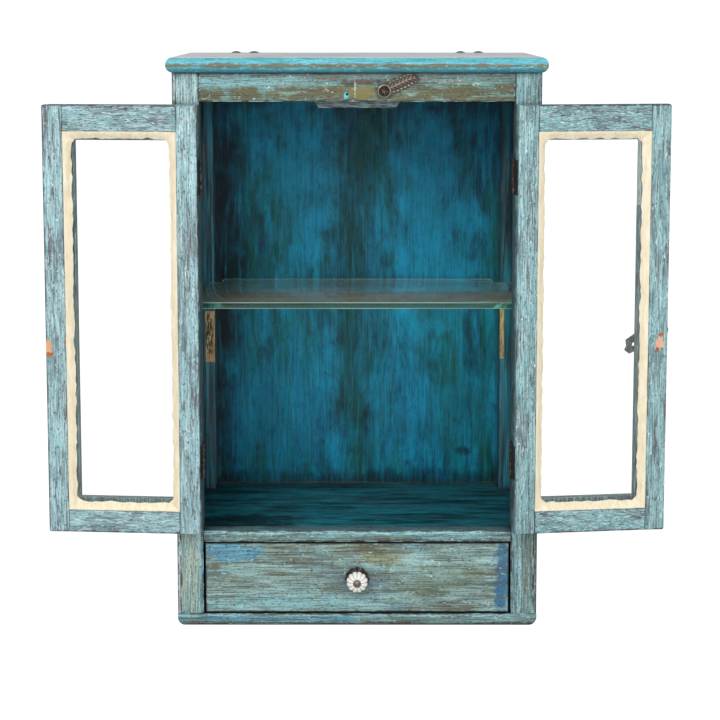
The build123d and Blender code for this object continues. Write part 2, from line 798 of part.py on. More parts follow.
def drawer_nails():
    """Two nails through each drawer side into the end of the drawer front."""
    nails = []
    for side in (-1, 1):
        for share in (0.3, 0.75):
            z = drawer_bottom_z + drawer_side_height * share
            depth = drawer_front_thickness - drawer_rebate / 2
            nails.append(rod(side * drawer_half, depth, z, nail_radius, nail_length, (-side, 0, 0)))
    return nails


def drawer_stops():
    width, depth, height = drawer_stop_size
    stops = []
    for side in (-1, 1):
        outer = side * (opening_half - drawer_stop_inset)
        stops.append(board(outer, outer - side * width, drawer_depth + drawer_stop_gap,
                           drawer_depth + drawer_stop_gap + depth, bottom_rail_height,
                           bottom_rail_height + height))
    return stops


def side_strip(width, z0, z1):
    """A strip along the inner face of a side rail, between the front and the back post."""
    return board(side_rail_inner - width, side_rail_inner, front_post_depth, back_post_front, z0, z1)


# --- knob ------------------------------------------------------------------------------------------
def front_plane_at_knob(depth):
    return Plane(origin=(0, front_y + depth, knob_height), x_dir=(1, 0, 0), z_dir=(0, -1, 0))


def knob_backplate():
    outline = Circle(backplate_radius - 1.2)
    for index in range(knob_lobes):
        angle = 2 * math.pi * index / knob_lobes
        outline += Pos((backplate_radius - 3.4) * math.cos(angle),
                       (backplate_radius - 3.4) * math.sin(angle)) * Circle(3.4)
    outline -= Circle(bolt_radius + fastener_clearance)
    return extrude(front_plane_at_knob(0) * outline, amount=backplate_thickness)


def knob():
    """A glazed knob turned about its bolt: a short neck and a rounded, fluted head."""
    neck, tip = knob_neck_length, knob_length
    bore = bolt_radius + fastener_clearance
    widest = neck + (tip - neck) * 0.5
    line = Polyline((bore, tip - 1.0), (bore, 0), (knob_neck_radius, 0), (knob_neck_radius - 1.2, neck * 0.6))
    curve = Spline((knob_neck_radius - 1.2, neck * 0.6), (knob_radius * 0.8, neck + 2.0),
                   (knob_radius, widest), (knob_radius * 0.72, tip - 1.6), (bolt_head_radius, tip - 0.4))
    closing = Line((bolt_head_radius, tip - 0.4), (bore, tip - 1.0))
    profile = make_face(line + curve + closing)
    solid = revolve(Plane.XZ * profile, Axis.Z)
    for index in range(knob_lobes):
        angle = 360 * (index + 0.5) / knob_lobes
        flute = Rot(0, 0, angle) * Pos(knob_radius + 1.0, 0, widest) * Cylinder(1.7, knob_length)
        solid -= flute
    return front_plane_at_knob(-backplate_thickness).location * solid


def knob_bolt(clearance):
    start = drawer_front_thickness + nut_thickness + 1.5
    end = -(backplate_thickness + knob_length - 0.4)
    if clearance:
        return rod(0, start + 1, knob_height, bolt_radius + clearance, start + 1 - end, (0, -1, 0))
    shank = rod(0, start, knob_height, bolt_radius, start - end, (0, -1, 0))
    return shank + front_plane_at_knob(end).location * dome(bolt_head_radius, bolt_head_height)


def knob_nut():
    plane = front_plane_at_knob(drawer_front_thickness)
    outline = RegularPolygon(nut_flats / 2 / math.cos(math.pi / 6), 6) - Circle(bolt_radius + fastener_clearance)
    return extrude(plane * outline, amount=-nut_thickness)


# --- the whole cabinet -----------------------------------------------------------------------------
def carcass_nodes():
    frame_leaves, frame_screws, frame_cuts = hinge_set(1, (0, 2), (1,))
    right_post = front_post(Part() + frame_cuts)
    top_side_rail, bottom_side_rail = side_rail_pair()
    nodes = {
        "left_front_post": mirrored(right_post),
        "right_front_post": right_post,
        "left_back_post": mirrored(back_post(left_scar)),
        "right_back_post": back_post(right_scar),
        "side_panels": on_both_sides(side_panel_solid()),
        "side_top_rails": on_both_sides(top_side_rail),
        "side_bottom_rails": on_both_sides(bottom_side_rail),
        "top_board": top_board(),
        "frieze_rail": frieze_rail(),
        "middle_rail": middle_rail(),
        "bottom_rail": bottom_rail(),
        "back_panel": back_panel(),
        "back_top_rail": back_rail(carcass_top - back_top_rail_height, carcass_top),
        "back_bottom_rail": back_rail(0, bottom_rail_height),
        "cabinet_floor": cabinet_floor(),
        "base_board": base_board(),
        "shelf_bearers": on_both_sides(shelf_bearer()),
        "drawer_runners": on_both_sides(side_strip(runner_width, runner_top - runner_thickness, runner_top)),
        "drawer_guides": on_both_sides(side_strip(side_rail_inner - opening_half, runner_top,
                                                  runner_top + guide_height)),
        "drawer_kickers": on_both_sides(side_strip(runner_width, floor_top - floor_thickness - kicker_height,
                                                   floor_top - floor_thickness)),
        "drawer_stops": drawer_stops(),
        "door_stop_block": door_stop_block(),
        "hanging_brackets": drilled_brackets(),
        "hanging_bolts": hanging_bolts(0.0),
        "back_panel_nails": panel_nails(0.0),
        "frame_hinge_leaves": frame_leaves + moved(frame_leaves, mirrored),
        "frame_hinge_screws": frame_screws + moved(frame_screws, mirrored),
        "hinge_pins": hinge_pins() + moved(hinge_pins(), mirrored),
        "turn_button_screw_and_washer": [button_screw(0.0), button_washer()],
    }
    return nodes


def door_nodes():
    leaves, screws, cuts = hinge_set(-1, (1,), (0, 2))
    flipped = [moved(group, mirrored) for group in (leaves, screws, cuts)]
    left = Door(False, left_meeting_stile_face).nodes("left", *flipped)
    right = Door(True, right_meeting_stile_face).nodes("right", *flipped)
    left["latch_keeper"] = latch_keeper()
    nodes = {name: moved(piece, swing_left) for name, piece in left.items()}
    right = {name: moved(piece, mirrored) for name, piece in right.items()}
    right["right_door_meeting_stile"] -= latch_pin(fastener_clearance)
    right["latch_plate"] = latch_plate()
    right["latch_pin"] = latch_pin(0.0)
    right["latch_hook"] = latch_hook()
    nodes.update({name: moved(piece, swing_right) for name, piece in right.items()})
    return nodes


def drawer_nodes():
    nails = drawer_nails()
    front = drawer_front()
    sides = on_both_sides(drawer_side())
    for nail in nails:
        front -= nail
        sides = [side - nail for side in sides]
    return {
        "drawer_front": front,
        "drawer_sides": sides,
        "drawer_back": drawer_back(),
        "drawer_bottom": drawer_bottom(),
        "drawer_nails": nails,
        "knob_backplate": knob_backplate(),
        "knob": knob(),
        "knob_bolt": knob_bolt(0.0),
        "knob_nut": knob_nut(),
    }


def all_nodes():
    return {
        **carcass_nodes(),
        **door_nodes(),
        **drawer_nodes(),
        "turn_button": turn_button(),
        "glass_shelf": glass_shelf(),
    }


def main():
    os.makedirs("parts", exist_ok=True)
    for name, piece in all_nodes().items():
        solids = []
        for item in (piece if isinstance(piece, list) else [piece]):
            solids += item.solids()
        shape = solids[0] if len(solids) == 1 else Compound(children=solids)
        export_step(shape, os.path.join("parts", name + ".step"))


if __name__ == "__main__":
    main()
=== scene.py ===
import json
import math
from statistics import NormalDist

import bmesh
import bpy
from mathutils import Matrix, Vector, noise

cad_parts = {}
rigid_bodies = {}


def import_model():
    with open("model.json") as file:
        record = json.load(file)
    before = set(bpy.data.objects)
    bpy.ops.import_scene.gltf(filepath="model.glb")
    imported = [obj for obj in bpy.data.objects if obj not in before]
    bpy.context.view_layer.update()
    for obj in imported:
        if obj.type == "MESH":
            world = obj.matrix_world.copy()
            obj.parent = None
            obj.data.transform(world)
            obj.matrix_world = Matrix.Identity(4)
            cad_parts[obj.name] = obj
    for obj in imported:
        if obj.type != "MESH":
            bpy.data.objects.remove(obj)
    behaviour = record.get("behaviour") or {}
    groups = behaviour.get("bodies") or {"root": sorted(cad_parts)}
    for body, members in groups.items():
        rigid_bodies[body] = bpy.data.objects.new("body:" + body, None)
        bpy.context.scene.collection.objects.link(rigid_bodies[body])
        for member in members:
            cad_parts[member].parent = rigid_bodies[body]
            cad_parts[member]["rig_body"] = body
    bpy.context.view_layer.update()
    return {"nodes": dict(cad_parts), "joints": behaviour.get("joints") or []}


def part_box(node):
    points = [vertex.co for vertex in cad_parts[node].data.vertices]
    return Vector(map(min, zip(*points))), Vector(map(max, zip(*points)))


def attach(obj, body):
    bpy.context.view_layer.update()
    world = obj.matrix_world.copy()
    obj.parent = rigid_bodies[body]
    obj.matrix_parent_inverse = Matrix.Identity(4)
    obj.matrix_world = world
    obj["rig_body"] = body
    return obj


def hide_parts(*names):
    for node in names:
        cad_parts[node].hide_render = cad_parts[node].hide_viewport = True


# Painted wall cabinet with two open glazed doors. Sizes are in millimetres and become metres through MM.
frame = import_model()

MM = 0.001
# How far each door stands open past flat, and how far the turn-button is raised, in degrees.
LEFT_PAST_FLAT = 5.0
RIGHT_PAST_FLAT = 8.0
BUTTON_ANGLE = 25.0
# The rounding of a board's long edges, and the lighter rounding of moulded, recessed and hidden boards.
EDGE_WEAR = 1.1
SLIGHT_WEAR = 0.6
# An edge is rounded where its faces turn outward by more degrees and it is longer than this.
ARRIS_ANGLE = 30.0
ARRIS_LENGTH = 12.0
BUTTON_GAP = 1.2
KNOB_LOBES = 12
# The spread of the noise about 0.5, which turns a share of the surface into a height to cut at.
NOISE_SPREAD = 0.095
# Half the width of a dark line of grime and painted shade, and how deep a mark on the front reaches into the
# wood.
DARK_LINE_REACH = 1.7
PAINT_DEPTH = 60.0
# The catches' scars on the back posts, from foot to head, and how deep the recess's wall reaches.
SCAR_FOOT, SCAR_HEAD = 290.0, 372.0
SCAR_BITE = 2.2
# A shut door's glass lip: how deep behind the frame's face it lies, the depths between which its walls
# stand, and how near and how far from the cabinet's middle they are.
LIP_DEPTH = 11.0
LIP_WALL = (1.2, 9.8)
LIP_REACH = (20.0, 175.0)
# How far the putty reaches onto the glass, and the fillet of putty in its corners.
PUTTY_TOE = 9.0
PUTTY_CORNER = 6.0
# Turned rings from the rim inward, each a width and a rise.
BOSS_RINGS = ((0.7, 0.8), (0.9, 0.3), (0.8, -0.9), (0.6, 0.0), (0.8, 0.9), (0.8, -0.8), (0.5, 0.0))
PLATE_RINGS = ((0.8, 0.5), (1.6, -0.4), (1.2, 0.5), (1.0, 0.2))
# The camera: how far right, in front and up it stands, how many degrees it looks down, and its lens.
CAMERA_RIGHT, CAMERA_BACK, CAMERA_HEIGHT = 3.6, 2500.0, 763.2
CAMERA_TILT = 7.66
LENS, LENS_SHIFT = 102.69, -0.10
# The brightness of the room and the paper where they are seen directly.
GLOW = 1.1

front_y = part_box("frieze_rail")[0].y / MM
total_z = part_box("top_board")[1].z / MM
frieze_low, frieze_high = (corner.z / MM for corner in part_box("frieze_rail"))
drawer_low, drawer_high = (corner.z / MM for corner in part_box("drawer_front"))
floor_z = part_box("cabinet_floor")[1].z / MM
back_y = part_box("back_panel")[1].y / MM
scar_y = back_y - 42
post_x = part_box("right_front_post")[0].x / MM
middle_rail_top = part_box("middle_rail")[1].z / MM
knob_x, knob_z = 0.0, (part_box("knob")[0].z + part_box("knob")[1].z) / 2 / MM


# --- materials ---
def rgb(hex_code):
    """An sRGB hex colour as linear light."""
    shares = [int(hex_code[i:i + 2], 16) / 255 for i in (1, 3, 5)]
    return [s / 12.92 if s <= 0.04045 else ((s + 0.055) / 1.055) ** 2.4 for s in shares] + [1.0]


def add(tree, kind, settings=None, links=None):
    """Adds a node. Settings name its properties or inputs, and links go from sockets to its inputs."""
    node = tree.nodes.new("ShaderNode" + kind)
    for name, value in (settings or {}).items():
        if isinstance(name, str) and hasattr(node, name):
            setattr(node, name, value)
        else:
            node.inputs[name].default_value = value
    for name, socket in (links or {}).items():
        tree.links.new(socket, node.inputs[name])
    return node


def new_material(name):
    """An empty material with its node tree and a socket for the place on the object."""
    material = bpy.data.materials.new(name)
    material.use_nodes = True
    tree = material.node_tree
    tree.nodes.clear()
    place = add(tree, "TexCoord").outputs["Object"]
    return material, tree, place


def coat(colour, width, length, cover, edge=0.10, lift=0.0, detail=5.0, wander=0.0, strength=1.0, seed=0.0):
    """A coat, lift mm thick, in marks width by length mm that cover a share of the surface. The wider its
    edge, the softer the marks' rims."""
    return dict(colour=colour, width=width, length=length, cover=cover, edge=edge, lift=lift,
                detail=detail, wander=wander, strength=strength, seed=seed)


def spot(colour, centre, radii, ragged=0.3, soft=0.25, lift=0.0, strength=1.0, grit=12.0):
    """A patch of colour round a place, in mm, with a ragged rim."""
    return dict(colour=colour, centre=centre, radii=radii, ragged=ragged, soft=soft, lift=lift,
                strength=strength, grit=grit)


def patch(colour, x, z, wide, high, deep=PAINT_DEPTH, **rim):
    """A spot on the cabinet's front face."""
    return spot(colour, (x, front_y, z), (wide, deep, high), **rim)


def coat_mask(tree, place, along, layer):
    """Noise drawn out along the grain, cut where it covers the asked share of the surface."""
    scale = [1 / (layer["width"] * MM)] * 3
    scale["XYZ".index(along)] = 1 / (layer["length"] * MM)
    drawn_out = add(tree, "Mapping", {"Scale": scale, "Location": [layer["seed"]] * 3}, {"Vector": place})
    marks = add(tree, "TexNoise", {"Scale": 1.0, "Detail": layer["detail"], "Roughness": 0.64,
                                   "Distortion": layer["wander"]},
                {"Vector": drawn_out.outputs[0]})
    middle = 0.5 + NOISE_SPREAD * NormalDist().inv_cdf(1 - layer["cover"])
    return add(tree, "MapRange", {"interpolation_type": "SMOOTHSTEP", 1: middle - layer["edge"] / 2,
                                  2: middle + layer["edge"] / 2, 4: layer["strength"]},
               {"Value": marks.outputs["Fac"]}).outputs[0]


def spot_mask(tree, place, layer):
    """1 inside an ellipsoid whose rim is broken up by noise."""
    scale = [1 / (radius * MM) for radius in layer["radii"]]
    shift = [-c / r for c, r in zip(layer["centre"], layer["radii"])]
    local = add(tree, "Mapping", {"Scale": scale, "Location": shift}, {"Vector": place})
    reach = add(tree, "VectorMath", {"operation": "LENGTH"}, {0: local.outputs[0]})
    rim = add(tree, "TexNoise", {"Scale": 1 / (layer["grit"] * MM), "Detail": 4.0}, {"Vector": place})
    ragged = add(tree, "Math", {"operation": "MULTIPLY_ADD", 1: 4 * layer["ragged"], 2: -2 * layer["ragged"]},
                 {0: rim.outputs["Fac"]})
    total = add(tree, "Math", {"operation": "ADD"}, {0: reach.outputs["Value"], 1: ragged.outputs[0]})
    return add(tree, "MapRange", {"interpolation_type": "SMOOTHSTEP", 1: 1 + layer["soft"] / 2,
                                  2: 1 - layer["soft"] / 2, 4: layer["strength"]},
               {"Value": total.outputs[0]}).outputs[0]


def layered(name, ground, along, layers, gloss=(0.38, 0.6), ior=1.47, metal=0.0, crease_darkening=0.0, shine=0.5):
    """A finish laid up coat by coat over a ground colour, with the relief that the coats leave and painted
    shade that darkens it in corners and joints."""
    material, tree, place = new_material(name)
    colour, height = None, None
    for layer in layers:
        if "cover" in layer:
            amount = coat_mask(tree, place, along, layer)
        else:
            amount = spot_mask(tree, place, layer)
        under = {} if colour is None else {6: colour}
        colour = add(tree, "Mix", {"data_type": "RGBA", 6: rgb(ground), 7: rgb(layer["colour"])},
                     {0: amount, **under}).outputs[2]
        if layer["lift"]:
            lifted = {0: amount} if height is None else {0: amount, 2: height}
            height = add(tree, "Math", {"operation": "MULTIPLY_ADD", 1: layer["lift"], 2: 0.0},
                         lifted).outputs[0]
    if crease_darkening:
        # Painted shade: the colour darkens towards near-black where ambient occlusion finds corners, joints
        # and hollows.
        hollow = add(tree, "AmbientOcclusion", {"samples": 4, "Distance": 9 * MM})
        painted_shade_share = add(tree, "MapRange", {1: 0.92, 2: 0.40, 4: crease_darkening}, {"Value": hollow.outputs["AO"]})
        colour = add(tree, "Mix", {"data_type": "RGBA", 7: rgb("#1d201e")},
                     {0: painted_shade_share.outputs[0], 6: colour}).outputs[2]
    sheen = add(tree, "TexNoise", {"Scale": 1 / (18 * MM), "Detail": 5.0}, {"Vector": place})
    rough = add(tree, "MapRange", {1: 0.3, 2: 0.7, 3: gloss[0], 4: gloss[1]}, {"Value": sheen.outputs["Fac"]})
    links = {"Base Color": colour, "Roughness": rough.outputs[0]}
    if height is not None:
        bump = add(tree, "Bump", {"Strength": 1.0, "Distance": MM}, {"Height": height})
        links["Normal"] = bump.outputs[0]
    settings = {"Metallic": metal} if metal else {"IOR": ior, "Specular IOR Level": shine}
    shader = add(tree, "BsdfPrincipled", settings, links)
    add(tree, "OutputMaterial", {}, {"Surface": shader.outputs[0]})
    return material


# Worn edges: a dark coat that is grime and painted shade along the arrises, then worn pale paint and bare
# wood.
WORN_AND_SHADED_EDGES = [coat("#2f2a27", 2.6, 34, 0.66, 0.14, lift=-0.10, strength=0.9),
          coat("#a9d6dc", 2.2, 20, 0.30, 0.10, lift=0.05, strength=0.9, seed=3),
          coat("#c79a6c", 1.6, 7, 0.05, 0.04, lift=-0.15, strength=0.9, seed=9)]
DARK_RUBBED = [coat("#2f7f92", 3, 30, 0.40, 0.16, lift=0.04, strength=0.8),
               coat("#151c1e", 2, 16, 0.45, 0.12, lift=-0.08, strength=0.8, seed=4),
               coat("#a98573", 2, 14, 0.10, 0.06, lift=-0.12, strength=0.8, seed=7)]


def painted(name, ground, along, layers, edge_coats, **look):
    """The paint of a board's faces, and on its edges the same paint under the edge coats: worn through, and
    on most boards darkened by grime and painted shade.
    """
    # Every painted board gets painted shade in its corners and joints unless asked otherwise.
    look = {"crease_darkening": 0.8, **look}
    return (layered(name, ground, along, layers, **look),
            layered(name + "_worn_and_shaded_edge", ground, along, layers + edge_coats, **look))


def grime_and_shade_lines(node, axis, strength=0.75):
    """Old grime and painted shade in thin, broken dark lines along two opposite edges of a board."""
    low, high = (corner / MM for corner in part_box(node))
    middle, reach = (low + high) / 2, (high - low) * 1.5
    lines = []
    for end in (low, high):
        place, radii = middle.copy(), Vector((reach.x, PAINT_DEPTH, reach.z))
        place["XYZ".index(axis)] = end["XYZ".index(axis)]
        radii["XYZ".index(axis)] = DARK_LINE_REACH
        lines.append(spot("#292827", place, radii, ragged=0.8, soft=0.8, strength=strength, grit=9))
    return lines


def reseeded(seed, coats):
    """The same coats, with their marks moved to other places."""
    return [dict(layer, seed=layer["seed"] + seed) for layer in coats]


def outside_coats(light, middle, dark, olive_share, seed=0):
    """Hand-brushed gloss paint over an olive coat, dry and worn: brush lines, thin places and old grime."""
    return reseeded(seed, [
        coat(middle, 36, 110, 0.50, 0.34, lift=0.04, wander=0.5, strength=0.85, seed=3.1),
        coat("#645f3f", 28, 105, olive_share, 0.21, lift=-0.05, wander=0.6, detail=7, strength=0.95),
        coat("#4f5351", 24, 90, 0.26, 0.24, lift=-0.03, wander=0.6, detail=7, strength=0.75, seed=21),
        coat("#3d93b6", 16, 60, 0.11, 0.18, lift=0.03, detail=8, strength=0.55, seed=15),
        coat(light, 8, 55, 0.36, 0.26, lift=0.05, detail=8, wander=0.6, strength=0.7, seed=7.7),
        coat(light, 1.5, 60, 0.30, 0.18, lift=0.04, detail=3, strength=0.45, seed=25),
        coat(dark, 1.1, 50, 0.34, 0.12, lift=-0.07, detail=3, strength=0.75, seed=1.3),
        coat("#33342d", 1.8, 4.4, 0.20, 0.09, lift=-0.07, strength=0.7, seed=5.5),
        coat("#cdebed", 4, 8, 0.06, 0.05, lift=0.08, wander=1.2, strength=0.85, seed=9.2),
        coat("#2d2a26", 1.3, 4, 0.03, 0.03, lift=-0.12, strength=0.9, wander=0.6, seed=18),
        coat("#f3f5ee", 1.8, 3.5, 0.003, 0.012, lift=0.10, seed=12.4),
    ])


# Brushed oil paint on old softwood, thin enough for the olive coat under it to show: the outside boards.
upright_coats = outside_coats("#a4d4d9", "#86b2b4", "#3f5654", 0.40)
outside_upright = painted("brushed_oil_paint_upright", "#7ba6a8", "Z", upright_coats[:5] + [
    patch("#b9bfa6", -208, 70, 14, 62, ragged=0.6, soft=1, strength=0.65, grit=14),
    patch("#717c74", 210, 66, 14, 70, ragged=0.6, soft=1, strength=0.75, grit=14),
    patch("#c4dedf", -206, 672, 13, 22, ragged=0.7, soft=1, strength=0.6),
    # Near-white lines along the left post's rounded outer arris: worn paint and a painted highlight.
    patch("#e2eff0", -223, 60, 2.6, 62, ragged=1.2, soft=0.5, lift=0.05, strength=0.8),
    patch("#e2eff0", -222, 668, 3, 24, ragged=1.2, soft=0.5, lift=0.05, strength=0.7, grit=9),
    # A dark line along the right post's outer edge: grime and painted shade.
    patch("#453c37", 223.5, 60, 2.4, 62, ragged=0.9, soft=0.5, strength=0.8),
    patch("#a5d3dd", 203, 62, 2.6, 60, ragged=1.2, soft=0.6, strength=0.7),
    patch("#3f9cc6", -193, 80, 2.4, 60, ragged=0.8, soft=0.9, strength=0.7),
    patch("#3f9cc6", 193, 60, 2.2, 55, ragged=0.8, soft=0.9, strength=0.6),
] + upright_coats[5:] + grime_and_shade_lines("left_front_post", "X") + grime_and_shade_lines("right_front_post", "X"), WORN_AND_SHADED_EDGES)
level_coats = outside_coats("#93c9ce", "#82aeb0", "#46544e", 0.50, seed=5)
outside_level = painted("brushed_oil_paint_level", "#6f9594", "X", level_coats[:5] + [
    patch("#3c93b4", -120, 9, 110, 5, ragged=0.8, soft=0.9, strength=0.6),
    # A dark line along the bottom rail's lower edge: grime and painted shade.
    patch("#46342f", 0, 1, 900, 2.8, ragged=0.7, soft=0.8, strength=0.85, grit=7),
    patch("#a8e0ea", 0, middle_rail_top - 1, 900, 2.6, ragged=1.1, soft=0.6, strength=0.7, grit=14),
    # A dark line along the middle rail's lower edge, over the drawer's gap: grime and painted shade.
    patch("#3b322c", 0, middle_rail_top - 14, 900, 1.8, ragged=0.9, soft=0.8, strength=0.8, grit=9),
    patch("#a3d6de", 0, 13, 900, 2.2, ragged=1.1, soft=0.6, strength=0.6, grit=14),
] + level_coats[5:] + grime_and_shade_lines("middle_rail", "Z", 0.6) + grime_and_shade_lines("bottom_rail", "Z"), WORN_AND_SHADED_EDGES)
outside_deep = painted("brushed_oil_paint_side", "#5d9aa0", "Y",
                       outside_coats("#7cbcc4", "#5fa2ac", "#3c5a5c", 0.30), WORN_AND_SHADED_EDGES)
# The top lies in the dust: the same gloss paint, chalked and pale in broad worn patches, a paleness that is
# also a painted highlight of the light grazing it.
chalked_and_highlit_top = layered("chalked_gloss_paint_top_with_painted_highlight", "#b4d2d8", "X", [
    coat("#f4f8f9", 60, 160, 0.72, 0.30, wander=0.6, detail=8, strength=0.95),
    coat("#7fa6ab", 7, 70, 0.24, 0.18, strength=0.6, seed=4),
    coat("#77745a", 20, 60, 0.10, 0.12, lift=-0.05, wander=0.8, strength=0.7, seed=11),
    coat("#5c6a6c", 1.2, 50, 0.28, 0.12, lift=-0.05, strength=0.5, seed=8),
    coat("#3b3c38", 1.8, 4, 0.05, 0.05, lift=-0.08, strength=0.6, seed=2)], gloss=(0.14, 0.34))

# The moulded top has the freshest, bluest paint, with an olive stripe worn along its middle.
cornice_z = (total_z + frieze_high) / 2
cornice_paint = painted("brushed_oil_paint_moulding", "#58b8ca", "X", [
    coat("#7bd2df", 5, 50, 0.46, 0.30, lift=0.04, detail=8, strength=0.8),
    coat("#2f8ea3", 3, 40, 0.26, 0.20, lift=-0.04, detail=8, strength=0.7, seed=2),
    spot("#6f6b48", (0, front_y - 9, cornice_z - 1), (900, 60, 2.4), ragged=0.8, soft=1, lift=-0.05,
         strength=0.9, grit=16),
    spot("#2b7f95", (0, front_y - 9, cornice_z - 7.6), (900, 60, 3.4), ragged=0.5, soft=0.9, strength=0.75),
    coat("#3c4a40", 1.1, 20, 0.22, 0.14, lift=-0.05, detail=3, strength=0.5, seed=4.4),
    coat("#4b5a55", 1.5, 4, 0.16, 0.10, lift=-0.05, strength=0.5, seed=6.4),
    coat("#b7eaf0", 1.3, 6, 0.10, 0.08, lift=0.06, strength=0.6, seed=8.1),
    spot("#7a8a80", (0, 60, total_z), (300, 190, 3), ragged=0.5, soft=1, strength=0.4, grit=40),
], WORN_AND_SHADED_EDGES)

# The frieze has lost most of its top coat: olive below, pale teal above, and scratches down to the wood.
frieze_coats = outside_coats("#8fcad0", "#7ba7a0", "#424d42", 0.42, seed=2)
frieze_paint = painted("brushed_oil_paint_frieze", "#749688", "X", frieze_coats[:6] + [
    patch("#665f3a", 0, frieze_low + 7, 900, 11, ragged=0.9, soft=0.4, strength=0.9, grit=26),
    coat("#8ebdb0", 5, 30, 0.24, 0.16, detail=8, strength=0.6, seed=14),
    patch("#6a7068", 0, frieze_high - 4.5, 900, 5.5, ragged=0.6, soft=0.9, strength=0.55),
    patch("#8cc3c9", -150, frieze_high - 11, 90, 7, ragged=0.6, soft=0.9, strength=0.6),
] + frieze_coats[6:] + [
    patch("#7f7744", 7, 667, 16.5, 8.6, deep=40, ragged=0.35, soft=0.5, strength=0.85, grit=9),
    patch("#3d3228", 8, 678, 22, 3.6, deep=40, ragged=0.8, soft=0.8, strength=0.75, grit=9),
    patch("#c9cfc0", -2.5, 673, 1, 9, deep=40, ragged=1.1, soft=1.2, lift=0.12, strength=0.6, grit=3),
    patch("#5cc0d4", -12.5, 662, 3.4, 3.2, deep=40, ragged=0.6, soft=0.5, lift=0.1, grit=4),
    patch("#8f4a2c", 8, 680, 9.5, 0.7, deep=40, ragged=1.3, soft=0.8, lift=-0.2, strength=0.8, grit=3),
    patch("#a8603a", 112, 679, 15, 0.8, deep=40, ragged=1.4, soft=0.8, lift=-0.2, strength=0.8, grit=3),
    patch("#8f4a2c", -34, 682.5, 12, 0.6, deep=40, ragged=1.5, soft=0.8, lift=-0.2, strength=0.7, grit=3),
] + grime_and_shade_lines("frieze_rail", "Z", 0.6), WORN_AND_SHADED_EDGES)


def door_coats(pale, streak, seed):
    """Pale dry-brushed paint that has gone chalky, with brown-grey grain showing in lines."""
    return reseeded(seed, [
        coat("#52656a", 20, 90, 0.42, 0.24, lift=-0.03, wander=0.5, detail=8, strength=0.85, seed=1),
        coat(pale, 7, 50, 0.42, 0.24, lift=0.04, detail=8, wander=0.5, strength=0.85, seed=5),
        coat("#54434a", 6, 60, 0.18, 0.12, lift=-0.05, wander=0.6, detail=8, strength=0.8, seed=7.6),
        coat(streak, 1.1, 40, 0.36, 0.14, lift=-0.06, detail=3, strength=0.65, seed=2.6),
        coat("#d6eef0", 1.2, 40, 0.20, 0.12, lift=0.05, detail=3, strength=0.55, seed=22),
        coat("#30383b", 1.6, 5, 0.19, 0.09, lift=-0.08, strength=0.72, seed=6),
        coat("#e2f3f4", 2.8, 8, 0.08, 0.06, lift=0.07, wander=1, strength=0.8, seed=9.9),
        coat("#332f31", 1.3, 4, 0.025, 0.03, lift=-0.12, strength=0.9, wander=0.8, seed=4.2),
        coat("#d3a377", 1.6, 3, 0.002, 0.01, lift=-0.2, seed=15),
    ])


# The doors' worn edges: a dark coat of grime and painted shade, then worn pale paint and bare wood.
DOOR_WORN_AND_SHADED_EDGES = [coat("#3b3d42", 1.8, 34, 0.56, 0.14, lift=-0.08, strength=0.85),
               coat("#9fcfd5", 2, 20, 0.26, 0.10, lift=0.05, strength=0.85, seed=3),
               coat("#c48a58", 1.6, 5, 0.03, 0.03, lift=-0.15, seed=8)]
# Bare wood, tan and orange, where the latch and a hinge knocked the paint off the stiles.
left_chips = [spot("#dba67c", (-379.5, -148, 356), (4.2, 40, 10), ragged=0.45, soft=0.12, lift=-0.5,
                   grit=6),
              spot("#b5662a", (-378, -148, 346), (4.5, 40, 2.2), ragged=0.6, soft=0.3, lift=-0.4, grit=5),
              spot("#b5764a", (-357.4, -150, 361.5), (2.2, 40, 2.6), ragged=0.5, soft=0.3, lift=-0.3, grit=5),
              spot("#cf8a3c", (-210.8, -160, 635), (1.1, 40, 2), ragged=0.5, soft=0.3, lift=-0.2, grit=4)]
right_chips = [spot("#e3ae93", (373, -140, 358.5), (5, 40, 8.6), ragged=0.6, soft=0.25, lift=-0.5,
                    grit=5),
               spot("#b5662a", (369, -140, 349.5), (3.2, 40, 2), ragged=0.6, soft=0.3, lift=-0.4, grit=5),
               spot("#b5662a", (374, -140, 369.5), (3.4, 40, 1.6), ragged=0.6, soft=0.3, lift=-0.4, grit=5),
               spot("#d99a62", (356.1, -142, 375), (2, 40, 3), ragged=0.5, soft=0.3, lift=-0.4, grit=4)]


def stile_lines(side):
    """The dark lines of grime and painted shade along both stiles of a door, and at the meeting stile's ends.
    """
    stile = side + "_door_meeting_stile"
    return grime_and_shade_lines(stile, "X") + grime_and_shade_lines(stile, "Z") + grime_and_shade_lines(side + "_door_hinge_stile", "X")


def rail_lines(side):
    """The dark lines of grime and painted shade along the upper edge of a door's top rail and the lower edge
    of its bottom rail.
    """
    return grime_and_shade_lines(side + "_door_top_rail", "Z")[1:] + grime_and_shade_lines(side + "_door_bottom_rail", "Z")[:1]


def door_paint(board, grain, ground, pale, streak, seed, marks):
    """Chalky dry-brushed paint, paler and flatter than the carcass's."""
    return painted("chalky_oil_paint_" + board, ground, grain, door_coats(pale, streak, seed) + marks,
                   DOOR_WORN_AND_SHADED_EDGES, gloss=(0.45, 0.7))


left_stile_paint = door_paint("left_stile", "Z", "#90bfc6", "#b2dbe1", "#666a6e", 0,
                              stile_lines("left") + left_chips)
left_rail_paint = door_paint("left_rail", "X", "#8cbcc2", "#aad5db", "#62686c", 3, rail_lines("left"))
right_stile_paint = door_paint("right_stile", "Z", "#7fb0b4", "#9ccdd2", "#5c6265", 6,
                               stile_lines("right") + right_chips)
right_rail_paint = door_paint("right_rail", "X", "#7fb2b6", "#98cbd0", "#5c6466", 9, rail_lines("right"))

